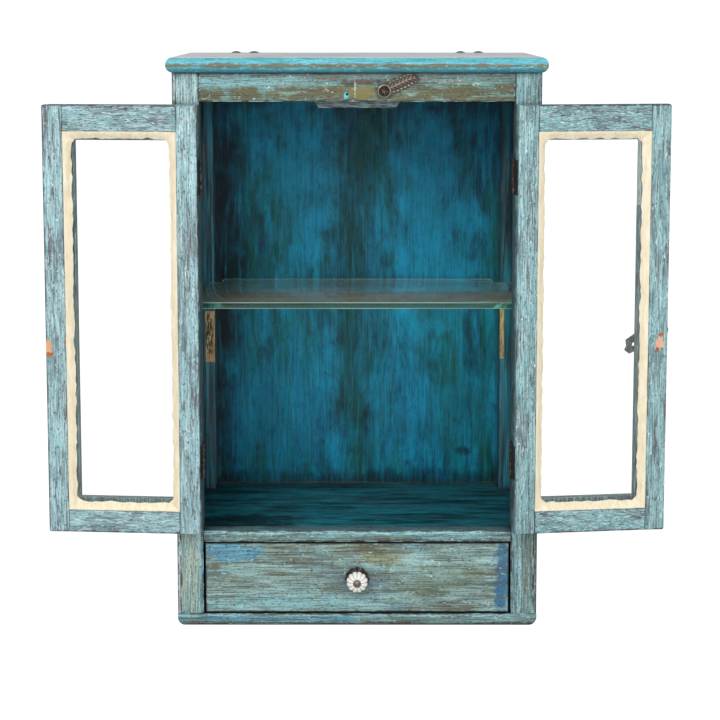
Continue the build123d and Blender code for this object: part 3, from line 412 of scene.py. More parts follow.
# The drawer front is worn to the olive coat in long level patches, with fresh blue at its two ends.
drawer_mid = (drawer_low + drawer_high) / 2
drawer_coats = outside_coats("#a8d2d2", "#96b8b2", "#4b5348", 0.52, seed=8)
drawer_paint = painted("brushed_oil_paint_drawer", "#86a8a4", "X", drawer_coats[:6] + [
    patch("#1f6a94", 181, drawer_mid, 9, 60, ragged=0.6, soft=0.7, strength=0.9, grit=9),
    patch("#3b9cc8", -172, drawer_high - 10, 40, 12, ragged=0.8, soft=1, strength=0.7),
    patch("#97976e", 28, drawer_high - 20, 30, 8, ragged=0.6, soft=0.8, strength=0.65),
    patch("#68795f", 100, drawer_mid - 6, 60, 18, ragged=0.8, soft=1.2, strength=0.5),
    patch("#86c6cf", -80, drawer_low + 14, 110, 9, ragged=0.8, soft=1.2, strength=0.5),
    patch("#5c7080", 4, knob_z - 4, 34, 20, ragged=0.6, soft=1.2, strength=0.55),
] + drawer_coats[6:] + [
    coat("#f3f4ef", 2.2, 5, 0.004, 0.01, lift=0.1, wander=1, seed=17),
    patch("#67654a", -177, drawer_mid + 14, 5, 6, deep=40, ragged=0.4, soft=0.5, strength=0.85, grit=5),
] + grime_and_shade_lines("drawer_front", "X") + grime_and_shade_lines("drawer_front", "Z"), WORN_AND_SHADED_EDGES)

# Inside, a deep blue-green glaze was brushed on in long upright strokes over a dark ground.
# The inside's paint gets a little less painted shade in its corners and joints.
INSIDE_LOOK = {"gloss": (0.35, 0.6), "shine": 0.34, "crease_darkening": 0.7}
inside_strokes = [
    coat("#001a26", 45, 200, 0.38, 0.30, wander=0.6, detail=4, strength=0.85),
    coat("#0aa6d2", 34, 110, 0.48, 0.34, lift=0.03, wander=1, detail=5, strength=0.9, seed=2),
    coat("#00604c", 38, 220, 0.38, 0.26, wander=0.6, detail=4, strength=0.8, seed=8),
    coat("#001721", 14, 90, 0.20, 0.24, detail=6, wander=0.8, strength=0.45, seed=16),
    coat("#00141d", 1.8, 60, 0.36, 0.22, lift=-0.03, detail=4, strength=0.35, seed=3),
    coat("#2aa6c4", 5, 60, 0.16, 0.20, lift=0.03, detail=8, wander=0.6, strength=0.3, seed=11),
    coat("#00141c", 5, 14, 0.20, 0.18, detail=8, wander=0.9, strength=0.35, seed=5),
    coat("#c4e4e6", 1.2, 1.5, 0.0016, 0.006, lift=0.03, strength=0.9, seed=13),
]
back_marks_and_shade = [
    spot("#03080b", (-186, 0, 400), (31, 400, 340), ragged=0.4, soft=1, strength=0.9, grit=40),
    spot("#002f2a", (-8, 0, 500), (36, 400, 320), ragged=0.6, soft=1.2, strength=0.6, grit=60),
    # Painted shade: a near-black band across the top of the back, under the top board.
    spot("#02090c", (0, 0, 668), (300, 400, 44), ragged=0.6, soft=1.2, strength=0.9, grit=50),
    spot("#0c161a", (145, 0, 165.5), (11, 400, 6), ragged=0.4, soft=0.7, strength=0.9, grit=6),
    spot("#03161b", (0, 0, 126), (260, 400, 12), ragged=0.5, soft=1.2, strength=0.7, grit=30),
    spot("#06a4d0", (-74, 0, 560), (34, 400, 110), ragged=0.9, soft=1.4, strength=0.7, grit=40),
    spot("#06a4d0", (100, 0, 480), (46, 400, 150), ragged=0.9, soft=1.4, strength=0.7, grit=40),
    spot("#0096c0", (-95, 0, 220), (70, 400, 70), ragged=0.9, soft=1.4, strength=0.5, grit=40),
    spot("#0096c0", (110, 0, 215), (60, 400, 55), ragged=0.9, soft=1.4, strength=0.45, grit=40),
    spot("#8d8274", (0, 0, floor_z), (900, 400, 1), ragged=1.1, soft=0.9, strength=0.5, grit=5),
]
inside_back = painted("brushed_glaze_back", "#04698a", "Z", inside_strokes[:4] + back_marks_and_shade
                      + inside_strokes[4:], DARK_RUBBED, **INSIDE_LOOK)
inside_side = painted("brushed_glaze_side", "#00455c", "Z", inside_strokes, DARK_RUBBED, **INSIDE_LOOK)
inside_post = painted("brushed_glaze_post", "#0f5f70", "Z", [
    coat("#27879c", 9, 120, 0.40, 0.22, lift=0.03, detail=7),
    coat("#06222c", 5, 140, 0.42, 0.18, lift=-0.03, detail=7, strength=0.9, seed=2),
    coat("#5a4038", 1.3, 60, 0.18, 0.10, lift=-0.04, strength=0.7, seed=7),
], [coat("#9a6a5c", 2, 60, 0.22, 0.08, lift=-0.1, strength=0.7), coat("#12242a", 2, 40, 0.45)])
inside_floor = painted("brushed_glaze_floor", "#20707c", "X", [
    coat("#2090a0", 20, 90, 0.44, 0.26, lift=0.03, wander=1, detail=8),
    coat("#332922", 12, 80, 0.30, 0.20, lift=-0.04, wander=1, detail=8, strength=0.85, seed=3),
    coat("#001019", 30, 150, 0.28, 0.20, strength=0.8, seed=6),
    spot("#090d0f", (-140, front_y + 50, floor_z), (60, 45, 60), ragged=0.7, soft=1.2, strength=0.85,
         grit=30),
    coat("#62b6c0", 3.4, 40, 0.09, 0.10, lift=0.03, wander=1, detail=8, strength=0.5, seed=5),
    coat("#0a1b20", 1.4, 50, 0.32, 0.12, lift=-0.05, detail=4, strength=0.6, seed=9),
    coat("#a9a596", 1.3, 5, 0.010, 0.015, lift=0.03, strength=0.8, seed=12),
], DARK_RUBBED, **INSIDE_LOOK)
# Split, unpainted wood where a catch was torn off the post: tan at the rim and dark in its middle.
torn_wood = layered("torn_softwood", "#d8aa74", "Z", [
    coat("#a9794a", 2, 14, 0.45, 0.16, lift=-0.1),
    spot("#35331f", (-(post_x + 7.5), scar_y, (SCAR_FOOT + SCAR_HEAD) / 2 - 1), (5, PAINT_DEPTH, 30),
         ragged=0.35, soft=0.3, strength=0.9, grit=8),
    coat("#e6c294", 1.4, 8, 0.25, 0.12, lift=0.1, seed=3)], gloss=(0.6, 0.8))
# The lips that hold the glass: paint gone dark with old linseed oil and soot, and darker still as painted
# shade where the rebate lies in shadow.
lip_grime_and_shade = layered("sooty_oil_paint_with_painted_shade", "#4b5c5e", "Z", [
    coat("#6f8c90", 3, 26, 0.34, 0.2, lift=0.03),
    coat("#2b3233", 1.4, 18, 0.38, 0.14, lift=-0.04, seed=3)], gloss=(0.5, 0.7))
# Grey primer scuffed by the doors, with a little of the blue left on it.
stop_paint = painted("scuffed_primer", "#7d8a93", "X", [
    coat("#9aa6ae", 3, 20, 0.4, 0.14, lift=0.04),
    coat("#4a5358", 1.4, 14, 0.4, 0.1, lift=-0.06, seed=4),
    coat("#7fb4ba", 4, 16, 0.15, 0.06, lift=0.04, seed=8)], WORN_AND_SHADED_EDGES)


def deal(name, along):
    """Old unpainted softwood: yellow-brown, with dark latewood lines and dust in the grain."""
    layers = [coat("#8f6b45", 5, 140, 0.5, 0.16, lift=-0.05),
              coat("#c9a273", 3, 90, 0.35, 0.14, lift=0.04, seed=3),
              coat("#5e452e", 1, 60, 0.30, 0.10, lift=-0.08, strength=0.75, seed=6),
              coat("#6f6557", 14, 60, 0.25, 0.2, strength=0.6, seed=9)]
    edge_coats = [coat("#d2ad7c", 2, 30, 0.4, lift=0.04)]
    return painted(name, "#ad8659", along, layers, edge_coats, gloss=(0.6, 0.8), ior=1.5)


bare_upright = deal("planed_deal_upright", "Z")
bare_level = deal("planed_deal_level", "X")
bare_deep = deal("planed_deal_deep", "Y")

# Linseed putty run by hand with a knife: cream, with oily tan smears, ridges and small pits, and a little
# painted shade in its corners.
putty_finish = layered("knifed_linseed_putty", "#f0e3c4", "Z", [
    coat("#f8f0da", 7, 30, 0.40, 0.24, lift=0.03, strength=0.8),
    coat("#dcc8a0", 4, 22, 0.24, 0.18, lift=-0.03, wander=0.6, strength=0.5, seed=4),
    coat("#b08f66", 1.6, 5, 0.02, 0.03, lift=-0.10, strength=0.6, seed=7),
    coat("#5a4836", 1, 1.4, 0.002, 0.005, lift=-0.4, seed=9),
], gloss=(0.42, 0.62), ior=1.48, crease_darkening=0.35)

# Forged iron left bare for decades: dark brown-black with rust bloom, and brighter where it rubs.
old_iron = layered("forged_iron_rusted", "#383532", "Z", [
    coat("#77706a", 2, 4, 0.34, 0.14, lift=0.02),
    coat("#4c3326", 2.4, 4, 0.18, 0.10, lift=0.05, seed=3),
    coat("#191716", 1.5, 3, 0.30, 0.10, lift=-0.05, seed=6)], gloss=(0.42, 0.68), metal=0.75)
# Zinc-plated steel gone grey and stained: the knob's bolt and the hanging bolts.
bolt_steel = layered("turned_steel_tarnished", "#8d8984", "Z", [
    coat("#5b5650", 2, 2, 0.45, 0.12, lift=0.02),
    coat("#77593f", 1.5, 1.5, 0.16, 0.08, lift=0.02, seed=5)], gloss=(0.3, 0.5), metal=0.9)


def cast_bronze():
    """Sand-cast bronze gone nearly black in its hollows, worn warm and bright on its high places, and made
    brighter there as a painted highlight.
    """
    material, tree, place = new_material("sand_cast_bronze_blackened")
    # Worn metal and a painted highlight: brightest on sharp convex rims and on the leaf's beads.
    convex = add(tree, "NewGeometry").outputs["Pointiness"]
    rim = add(tree, "MapRange", {1: 0.51, 2: 0.60, 4: 0.8}, {"Value": convex})
    beads = add(tree, "Attribute", {"attribute_name": "worn"}).outputs["Fac"]
    high = add(tree, "Math", {"operation": "MAXIMUM"}, {0: rim.outputs[0], 1: beads})
    patina = add(tree, "TexNoise", {"Scale": 1 / (2.5 * MM), "Detail": 4}, {"Vector": place})
    ground = add(tree, "Mix", {"data_type": "RGBA", 6: rgb("#1d1a1a"), 7: rgb("#6d6461")},
                 {0: patina.outputs["Fac"]})
    colour = add(tree, "Mix", {"data_type": "RGBA", 7: rgb("#e6d3b4")},
                 {0: high.outputs[0], 6: ground.outputs[2]})
    bump = add(tree, "Bump", {"Strength": 0.6, "Distance": 0.15 * MM}, {"Height": patina.outputs["Fac"]})
    shader = add(tree, "BsdfPrincipled", {"Metallic": 0.9, "Roughness": 0.42},
                 {"Base Color": colour.outputs[2], "Normal": bump.outputs[0]})
    add(tree, "OutputMaterial", {}, {"Surface": shader.outputs[0]})
    return material


def glazed_ceramic():
    """White glazed stoneware: a hard wet gloss, mottled grey and darker in the grooves between the lobes."""
    material, tree, place = new_material("glazed_stoneware")
    local = add(tree, "Mapping", {"Location": (-knob_x * MM, 0, -knob_z * MM)}, {"Vector": place})
    axes = add(tree, "SeparateXYZ", {}, {0: local.outputs[0]})
    angle = add(tree, "Math", {"operation": "ARCTAN2"}, {0: axes.outputs["Z"], 1: axes.outputs["X"]})
    turn = add(tree, "Math", {"operation": "MULTIPLY", 1: KNOB_LOBES / 2}, {0: angle.outputs[0]})
    wave = add(tree, "Math", {"operation": "SINE"}, {0: turn.outputs[0]})
    groove = add(tree, "Math", {"operation": "ABSOLUTE"}, {0: wave.outputs[0]})
    # Darker, mottled grey in the grooves between the lobes.
    crease_darkening = add(tree, "MapRange", {1: 0.34, 2: 0.04}, {"Value": groove.outputs[0]})
    mottle = add(tree, "TexNoise", {"Scale": 1 / (4 * MM), "Detail": 3}, {"Vector": place})
    amount = add(tree, "Math", {"operation": "MULTIPLY"}, {0: crease_darkening.outputs[0], 1: mottle.outputs["Fac"]})
    colour = add(tree, "Mix", {"data_type": "RGBA", 6: rgb("#f4f2ec"), 7: rgb("#3f3d3b")},
                 {0: amount.outputs[0]})
    shader = add(tree, "BsdfPrincipled", {"Roughness": 0.12, "IOR": 1.52}, {"Base Color": colour.outputs[2]})
    add(tree, "OutputMaterial", {}, {"Surface": shader.outputs[0]})
    return material


def plate_glass(name, tint, rough_low, rough_high, dust=0, dust_colour="#b9c6c2"):
    """Soda-lime glass. Wiping marks show in its roughness, and dust lies on it in streaks."""
    material, tree, place = new_material(name)
    streak = [1 / (size * MM) for size in (150, 14, 14)]
    drawn_out = add(tree, "Mapping", {"Scale": streak}, {"Vector": place})
    smear = add(tree, "TexNoise", {"Scale": 1, "Detail": 7}, {"Vector": drawn_out.outputs[0]})
    rough = add(tree, "MapRange", {1: 0.45, 2: 0.75, 3: rough_low, 4: rough_high},
                {"Value": smear.outputs["Fac"]})
    shader = add(tree, "BsdfPrincipled", {"Base Color": rgb(tint), "IOR": 1.52, "Transmission Weight": 1},
                 {"Roughness": rough.outputs[0]})
    surface = shader.outputs[0]
    if dust:
        lying = add(tree, "MapRange", {1: 0.35, 2: 0.70, 3: dust * 0.35, 4: dust},
                    {"Value": smear.outputs["Fac"]})
        film = add(tree, "BsdfDiffuse", {"Color": rgb(dust_colour), "Roughness": 0.5})
        surface = add(tree, "MixShader", {}, {0: lying.outputs[0], 1: surface, 2: film.outputs[0]}).outputs[0]
    clear = add(tree, "BsdfTransparent", {"Color": rgb(tint)})
    shadow = add(tree, "LightPath").outputs["Is Shadow Ray"]
    through = add(tree, "MixShader", {}, {0: shadow, 1: surface, 2: clear.outputs[0]})
    add(tree, "OutputMaterial", {}, {"Surface": through.outputs[0]})
    return material


# Clear in the doors. The shelf is dusty, sea-green where its ground edge is seen, frosted on its arrises.
door_glass = plate_glass("drawn_window_glass", "#fbfffd", 0, 0.03)
shelf_glass = plate_glass("float_plate_glass", "#dff5ee", 0, 0.05, dust=0.13, dust_colour="#cfc4b4")
shelf_edge_glass = plate_glass("float_plate_glass_ground_edge", "#45a893", 0.05, 0.3, dust=0.05,
                               dust_colour="#5fb5a2")
ground_arris = plate_glass("ground_glass_arris", "#e6fff8", 0.3, 0.5, dust=0.65, dust_colour="#cfe6e0")


# --- shaping ---
def set_mode(mode):
    """Puts the active object into edit mode or takes it out again."""
    bpy.ops.object.mode_set(mode=mode)


def pick(*objects):
    """Selects these objects and nothing else."""
    bpy.ops.object.select_all(action="DESELECT")
    for piece in objects:
        piece.select_set(True)
    bpy.context.view_layer.objects.active = objects[0]


def merged_copy(node, name):
    """A copy of a CAD node's mesh with its corners joined and its flat faces whole again."""
    piece = bpy.data.objects.new(name, frame["nodes"][node].data.copy())
    bpy.context.scene.collection.objects.link(piece)
    piece.data.materials.clear()
    pick(piece)
    bpy.ops.mesh.customdata_custom_splitnormals_clear()
    set_mode("EDIT")
    bpy.ops.mesh.select_all(action="SELECT")
    bpy.ops.mesh.remove_doubles(threshold=0.005 * MM)
    bpy.ops.mesh.dissolve_limited(angle_limit=math.radians(0.5))
    set_mode("OBJECT")
    return piece


def select_edges(piece, wanted):
    """In edit mode, selects the edges that pass a test, and says whether there are any."""
    bpy.ops.mesh.select_mode(type="EDGE")
    bpy.ops.mesh.select_all(action="DESELECT")
    mesh = bmesh.from_edit_mesh(piece.data)
    chosen = [edge for edge in mesh.edges if wanted(edge)]
    for edge in chosen:
        edge.select = True
    mesh.select_flush(True)
    bmesh.update_edit_mesh(piece.data)
    return bool(chosen)


def on_glass_lip(centre, normal):
    """True on the part of a shut door's frame that lies beside or under the glass."""
    depth = centre.y / MM - front_y
    under = normal.y > 0.9 and abs(depth - LIP_DEPTH) < 0.6
    beside = abs(normal.y) < 0.2 and abs(normal.x) + abs(normal.z) > 0.9
    return under or (beside and LIP_WALL[0] < depth < LIP_WALL[1]
                     and LIP_REACH[0] < abs(centre.x) / MM < LIP_REACH[1])


def faces_out(centre, normal):
    """True on a face that looks away from the cabinet's middle, to its left or right side."""
    return abs(normal.x) > 0.9 and normal.x * centre.x > 0 and abs(centre.x) > 200 * MM


def faces_in(centre, normal):
    """True on a side face that looks towards the cabinet's middle."""
    return abs(normal.x) > 0.9 and normal.x * centre.x < 0


def faces_back(centre, normal):
    """True on a face that looks at the wall."""
    return normal.y > 0.9


def faces_up(centre, normal):
    """True on a face that looks up."""
    return normal.z > 0.9


def in_scar(centre, normal):
    """True in the shallow recess that a torn-off catch left in a back post."""
    return (SCAR_FOOT * MM < centre.z < SCAR_HEAD * MM
            and (scar_y + 0.3) * MM < centre.y < (scar_y + SCAR_BITE) * MM)


def is_long_arris(edge):
    """True on a long outward edge, which use has rounded."""
    return (len(edge.link_faces) == 2 and edge.calc_face_angle_signed() > math.radians(ARRIS_ANGLE)
            and edge.calc_length() > ARRIS_LENGTH * MM)


def finish_piece(piece, body, slot, *nodes, smooth=35):
    """Shades the piece, hands it to its body and hides the CAD nodes it stands for. The slot is not used."""
    pick(piece)
    bpy.ops.object.shade_smooth_by_angle(angle=math.radians(smooth))
    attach(piece, body)
    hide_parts(*nodes)
    return piece


def worn_board(node, paint, slot="painted_wood", wear=EDGE_WEAR, others=(), turn=Matrix.Identity(4)):
    """A board with its long edges rounded by use. The rounding gets the paint's edge version, worn through
    and, on most boards, darkened by grime and painted shade. The others are pairs of a finish and a test,
    made with the board turned as asked, for the faces that get that finish instead."""
    piece = merged_copy(node, "worn_" + node)
    for material in paint:
        piece.data.materials.append(material)
    set_mode("EDIT")
    if select_edges(piece, is_long_arris):
        bpy.ops.mesh.bevel(offset=wear * MM, segments=2, affect="EDGES", clamp_overlap=False, material=1)
    set_mode("OBJECT")
    for index, (finish, wanted) in enumerate(others, start=2):
        piece.data.materials.append(finish)
        for face in piece.data.polygons:
            if wanted(turn @ face.center, turn.to_3x3() @ face.normal):
                face.material_index = index
    return finish_piece(piece, frame["nodes"][node]["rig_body"], slot, node)


def joint_place(name):
    """Where a joint of the frame has its axis, in metres."""
    return Vector(next(joint["pos_m"] for joint in frame["joints"] if joint["name"] == name))


def shut_turn(side):
    """The turn that brings a door from where it rests to where it is shut."""
    sign, past = (-1, LEFT_PAST_FLAT) if side == "left" else (1, RIGHT_PAST_FLAT)
    pivot = joint_place(side + "_door_hinge")
    turn = Matrix.Rotation(math.radians(-sign * (180 + past)), 4, "Z")
    return Matrix.Translation(pivot) @ turn @ Matrix.Translation(-pivot)


def slice_evenly(axis, low, high, step):
    """In edit mode, cuts the whole mesh across an axis (0, 1 or 2) into slices about a step thick."""
    count = max(2, round((high[axis] - low[axis]) / step))
    for i in range(1, count):
        point, normal = [0, 0, 0], [0, 0, 0]
        point[axis], normal[axis] = low[axis] + (high[axis] - low[axis]) * i / count, 1
        bpy.ops.mesh.select_all(action="SELECT")
        bpy.ops.mesh.bisect(plane_co=point, plane_no=normal)


def hand_run_putty(side):
    """The putty of one door: its toe on the glass wanders, its face is uneven and its corners are filled."""
    node = side + "_door_putty"
    piece = merged_copy(node, "hand_run_" + node)
    to_shut = shut_turn(side)
    piece.data.transform(to_shut)
    xs, ys, zs = ([v.co[i] for v in piece.data.vertices] for i in range(3))
    low, high = Vector((min(xs), min(ys), min(zs))), Vector((max(xs), max(ys), max(zs)))
    toe, chamfer = PUTTY_TOE * MM, PUTTY_CORNER * MM
    pick(piece)
    set_mode("EDIT")
    for axis, step in ((0, 4.0), (2, 4.0), (1, 2.4)):
        slice_evenly(axis, low, high, step * MM)
    set_mode("OBJECT")
    seed = 3.7 if side == "left" else 9.1
    for vertex in piece.data.vertices:
        co = vertex.co
        beside, above = min(co.x - low.x, high.x - co.x), min(co.z - low.z, high.z - co.z)
        inward_x = 1 if co.x - low.x < high.x - co.x else -1
        inward_z = 1 if co.z - low.z < high.z - co.z else -1
        share = max(0.0, min(1.0, min(beside, above) / toe))
        # The knife's slow wander, and the small nicks it leaves.
        wander = noise.noise(Vector((co.x * 95 + seed, co.z * 95, seed))) * 1.9 * MM
        wander += noise.noise(Vector((co.x * 330, co.z * 330 + seed, seed))) * 0.7 * MM
        push_x = push_z = 0.0
        if beside <= above:
            push_x = (wander + 0.3 * MM) * share * inward_x
        else:
            push_z = (wander + 0.3 * MM) * share * inward_z
        corner = (beside - toe) + (above - toe)
        if share > 0.2 and corner < chamfer and max(beside, above) < toe + chamfer:
            fill = (chamfer - max(corner, 0.0)) / 2 * share
            push_x += fill * inward_x
            push_z += fill * inward_z
        co.x += push_x
        co.z += push_z
        height = (co.y - low.y) / (high.y - low.y)
        swell = noise.noise(Vector((co.x * 160, co.z * 160, seed + 5))) * 0.8
        if co.y > low.y + 0.5 * MM:
            co.y += min(0.0, (swell - 0.45) * MM * (0.4 + 0.6 * height))
    piece.data.transform(to_shut.inverted())
    piece.data.materials.append(putty_finish)
    return finish_piece(piece, side + "_door", "putty", node, smooth=50)


def bevelled_shelf():
    """The glass shelf, with its ground arrises and a greener, duller edge than its faces."""
    piece = merged_copy("glass_shelf", "ground_edge_glass_shelf")
    for glass in (shelf_glass, shelf_edge_glass, ground_arris):
        piece.data.materials.append(glass)
    for face in piece.data.polygons:
        face.material_index = 0 if abs(face.normal.z) > 0.9 else 1
    set_mode("EDIT")
    select_edges(piece, lambda e: len(e.link_faces) == 2 and e.calc_face_angle() > math.radians(60)
                 and abs(e.verts[0].co.z - e.verts[1].co.z) < MM)
    bpy.ops.mesh.bevel(offset=0.9 * MM, segments=3, affect="EDGES", clamp_overlap=False, material=2)
    set_mode("OBJECT")
    return finish_piece(piece, "glass_shelf", "shelf_glass", "glass_shelf", smooth=30)


def leaf_half_width(along):
    """Half the leaf's width at a share of its length: broad all along, then drawn in to a tip."""
    profile = [(0.0, 5.4), (0.12, 7.0), (0.3, 7.8), (0.65, 7.8), (0.82, 6.8), (0.93, 4.6), (1.0, 1.2)]
    for (a, low), (b, high) in zip(profile, profile[1:]):
        if along <= b:
            return low + (high - low) * (along - a) / (b - a)
    return profile[-1][1]


def start_piece(make, name, **shape):
    """Makes a new mesh with one of Blender's add operators, as the only thing selected."""
    bpy.ops.object.select_all(action="DESELECT")
    make(**shape)
    piece = bpy.context.object
    piece.name = name
    bpy.ops.object.transform_apply(location=True, rotation=True, scale=True)
    return piece


def turn_rings(piece, rings):
    """Sinks and raises rings in the top face, each inside the last."""
    set_mode("EDIT")
    bpy.ops.mesh.select_mode(type="FACE")
    bpy.ops.mesh.select_all(action="DESELECT")
    mesh = bmesh.from_edit_mesh(piece.data)
    for face in mesh.faces:
        face.select = face.normal.z > 0.9
    bmesh.update_edit_mesh(piece.data)
    for width, rise in rings:
        bpy.ops.mesh.inset(thickness=width * MM, depth=rise * MM)
    set_mode("OBJECT")


def turn_button():
    """The cast leaf on its boss: beaded rims, a centre vein, side veins and a tip that droops."""
    length, start, thick, beads = 41.5, 3.0, 2.6, 8.5
    leaf = start_piece(bpy.ops.mesh.primitive_grid_add, "cast_leaf_turn_button", x_subdivisions=110,
                       y_subdivisions=36, size=1.0)
    worn = leaf.data.attributes.new("worn", "FLOAT", "POINT")
    for vertex in leaf.data.vertices:
        along, across = vertex.co.x + 0.5, vertex.co.y * 2
        swing = abs(math.sin(along * math.pi * beads))
        half = leaf_half_width(along) * (0.86 + 0.14 * swing ** 0.6)
        bead = math.exp(-((abs(across) - 0.84) / 0.11) ** 2) * swing ** 1.5
        vein = math.exp(-(across / 0.10) ** 2) * (1 - 0.5 * along)
        wave = math.sin((along * beads - abs(across) * 1.6) * 2 * math.pi)
        side_vein = max(0.0, wave) ** 3 * (1 - abs(across))
        crown = 0.7 * (1 - across ** 2) * math.sin(min(1.0, along + 0.15) * math.pi * 0.8)
        droop = -4.0 * max(0.0, (along - 0.7) / 0.3) ** 2
        vertex.co.x = (start + length * along) * MM
        vertex.co.y = (across * half + droop) * MM
        vertex.co.z = (thick - 1.6 + 1.1 * bead + 0.5 * vein + 0.5 * side_vein + crown) * MM
        # How bright each place is worn and lit by painted highlight: most on the beads, less on the veins.
        worn.data[vertex.index].value = min(1.0, 1.1 * bead ** 2 + 0.45 * side_vein ** 2 + 0.25 * vein)
    set_mode("EDIT")
    bpy.ops.mesh.select_all(action="SELECT")
    bpy.ops.mesh.extrude_region_move(TRANSFORM_OT_translate={"value": (0, 0, -thick * MM)})
    set_mode("OBJECT")
    for vertex in leaf.data.vertices:
        if vertex.select:
            vertex.co.z = 0.0
    boss = start_piece(bpy.ops.mesh.primitive_cylinder_add, "boss", vertices=48, radius=8.4 * MM,
                       depth=3.4 * MM, location=(0, 0, 1.7 * MM))
    turn_rings(boss, BOSS_RINGS)
    pick(leaf, boss)
    bpy.ops.object.join()
    pivot = joint_place("turn_button_pivot")
    place = Matrix.Translation((pivot.x, (front_y - BUTTON_GAP) * MM, pivot.z))
    leaf.data.transform(place @ Matrix.Rotation(math.radians(90), 4, "X")
                        @ Matrix.Rotation(math.radians(BUTTON_ANGLE), 4, "Z"))
    set_mode("EDIT")
    bpy.ops.mesh.select_all(action="SELECT")
    bpy.ops.mesh.normals_make_consistent(inside=False)
    set_mode("OBJECT")
    leaf.data.materials.append(cast_bronze_finish)
    return finish_piece(leaf, "turn_button", "cast_leaf", "turn_button", smooth=40)


def place_on_drawer(piece, depth):
    """Stands a piece made about the Z axis on the drawer front, facing forward, at the knob's centre."""
    piece.data.transform(Matrix.Translation((knob_x * MM, (front_y - depth) * MM, knob_z * MM))
                         @ Matrix.Rotation(math.radians(90), 4, "X"))
    pick(piece)


def melon_knob():
    """A pressed knob like a small melon: a short neck and twelve full lobes that meet at the bolt."""
    knob = start_piece(bpy.ops.mesh.primitive_uv_sphere_add, "melon_knob", segments=KNOB_LOBES * 12,
                       ring_count=40, radius=1.0)
    reach, half_height, middle, throat, seat = 13.4, 8.4, 13.0, 5.6, 5.5
    for vertex in knob.data.vertices:
        x, y, z = vertex.co
        angle = math.atan2(y, x)
        ring = math.hypot(x, y)
        lobe = abs(math.sin(angle * KNOB_LOBES / 2)) ** 0.55
        radius = reach * (0.86 + 0.14 * lobe) * ring
        rise = half_height * z * (1 - 0.22 * (1 - lobe) * ring)
        if z < -0.55:
            radius = max(radius, throat)
        dimple = 2.0 * math.exp(-(ring / 0.34) ** 2) if z > 0 else 0.0
        vertex.co = Vector((math.cos(angle) * radius, math.sin(angle) * radius, middle + rise - dimple)) * MM
        if z < -0.8:
            vertex.co.z = min(vertex.co.z, seat * MM)
    neck = start_piece(bpy.ops.mesh.primitive_cylinder_add, "neck", vertices=48, radius=6.2 * MM,
                       depth=7.5 * MM, location=(0, 0, 3.75 * MM))
    pick(knob, neck)
    bpy.ops.object.join()
    place_on_drawer(knob, 1.8)
    knob.data.materials.append(ceramic_finish)
    return finish_piece(knob, "drawer", "glazed_ceramic", "knob", smooth=60)


def scalloped_plate():
    """The thin pressed rose behind the knob, with twelve scallops and a raised inner ring."""
    plate = start_piece(bpy.ops.mesh.primitive_cylinder_add, "scalloped_backplate", radius=1.0, depth=1.0,
                        vertices=KNOB_LOBES * 12, location=(0, 0, 0.5))
    reach, scallop = 14.9, 1.6
    for vertex in plate.data.vertices:
        angle = math.atan2(vertex.co.y, vertex.co.x)
        radius = reach - scallop * (1 - abs(math.cos(angle * KNOB_LOBES / 2)) ** 0.5)
        vertex.co = Vector((math.cos(angle) * radius, math.sin(angle) * radius, vertex.co.z)) * MM
    turn_rings(plate, PLATE_RINGS)
    place_on_drawer(plate, 0.0)
    plate.data.materials.append(old_iron)
    return finish_piece(plate, "drawer", "old_iron", "knob_backplate", smooth=40)


def latch_loop():
    """The small wire eye at the hook's nose, which stands out past the door's edge."""
    low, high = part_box("latch_hook")
    loop = start_piece(bpy.ops.mesh.primitive_torus_add, "latch_wire_eye", major_radius=3.4 * MM,
                       minor_radius=0.6 * MM, major_segments=40, minor_segments=10)
    for vertex in loop.data.vertices:
        vertex.co.x *= 0.6
    place = Matrix.Translation((high.x - 2.6 * MM, (low.y + high.y) / 2 - 0.6 * MM, high.z - 4.2 * MM))
    loop.data.transform(place @ Matrix.Rotation(math.radians(90), 4, "X"))
    loop.data.materials.append(old_iron)
    return finish_piece(loop, "latch_hook", "old_iron", smooth=60)


cast_bronze_finish = cast_bronze()
ceramic_finish = glazed_ceramic()

# --- the wooden boards ---
worn_board("top_board", cornice_paint, wear=SLIGHT_WEAR, others=[(chalked_and_highlit_top, faces_up)])
worn_board("frieze_rail", frieze_paint)
worn_board("middle_rail", outside_level)
worn_board("bottom_rail", outside_level)
for side in ("left", "right"):
    worn_board(side + "_front_post", outside_upright)
    worn_board(side + "_back_post", inside_post, wear=SLIGHT_WEAR,
               others=[(outside_upright[0], faces_out), (torn_wood, in_scar)])
    stile_paint, rail_paint = ((left_stile_paint, left_rail_paint) if side == "left"
                               else (right_stile_paint, right_rail_paint))
    for board, paint in (("hinge_stile", stile_paint), ("meeting_stile", stile_paint),
                         ("top_rail", rail_paint), ("bottom_rail", rail_paint)):
        worn_board(f"{side}_door_{board}", paint, "door_paint", wear=1.0,
                   others=[(lip_grime_and_shade, on_glass_lip)], turn=shut_turn(side))
    hand_run_putty(side)
    frame["nodes"][side + "_door_glass"].data.materials[0] = door_glass
worn_board("side_panels", inside_side, others=[(outside_deep[0], faces_out)])
worn_board("side_top_rails", outside_deep, others=[(inside_side[0], faces_in)])
worn_board("side_bottom_rails", outside_deep, others=[(inside_side[0], faces_in)])
worn_board("back_panel", inside_back, others=[(bare_upright[0], faces_back)])
worn_board("cabinet_floor", inside_floor)
worn_board("door_stop_block", stop_paint)
worn_board("shelf_bearers", inside_side)
worn_board("drawer_front", drawer_paint, wear=0.5)
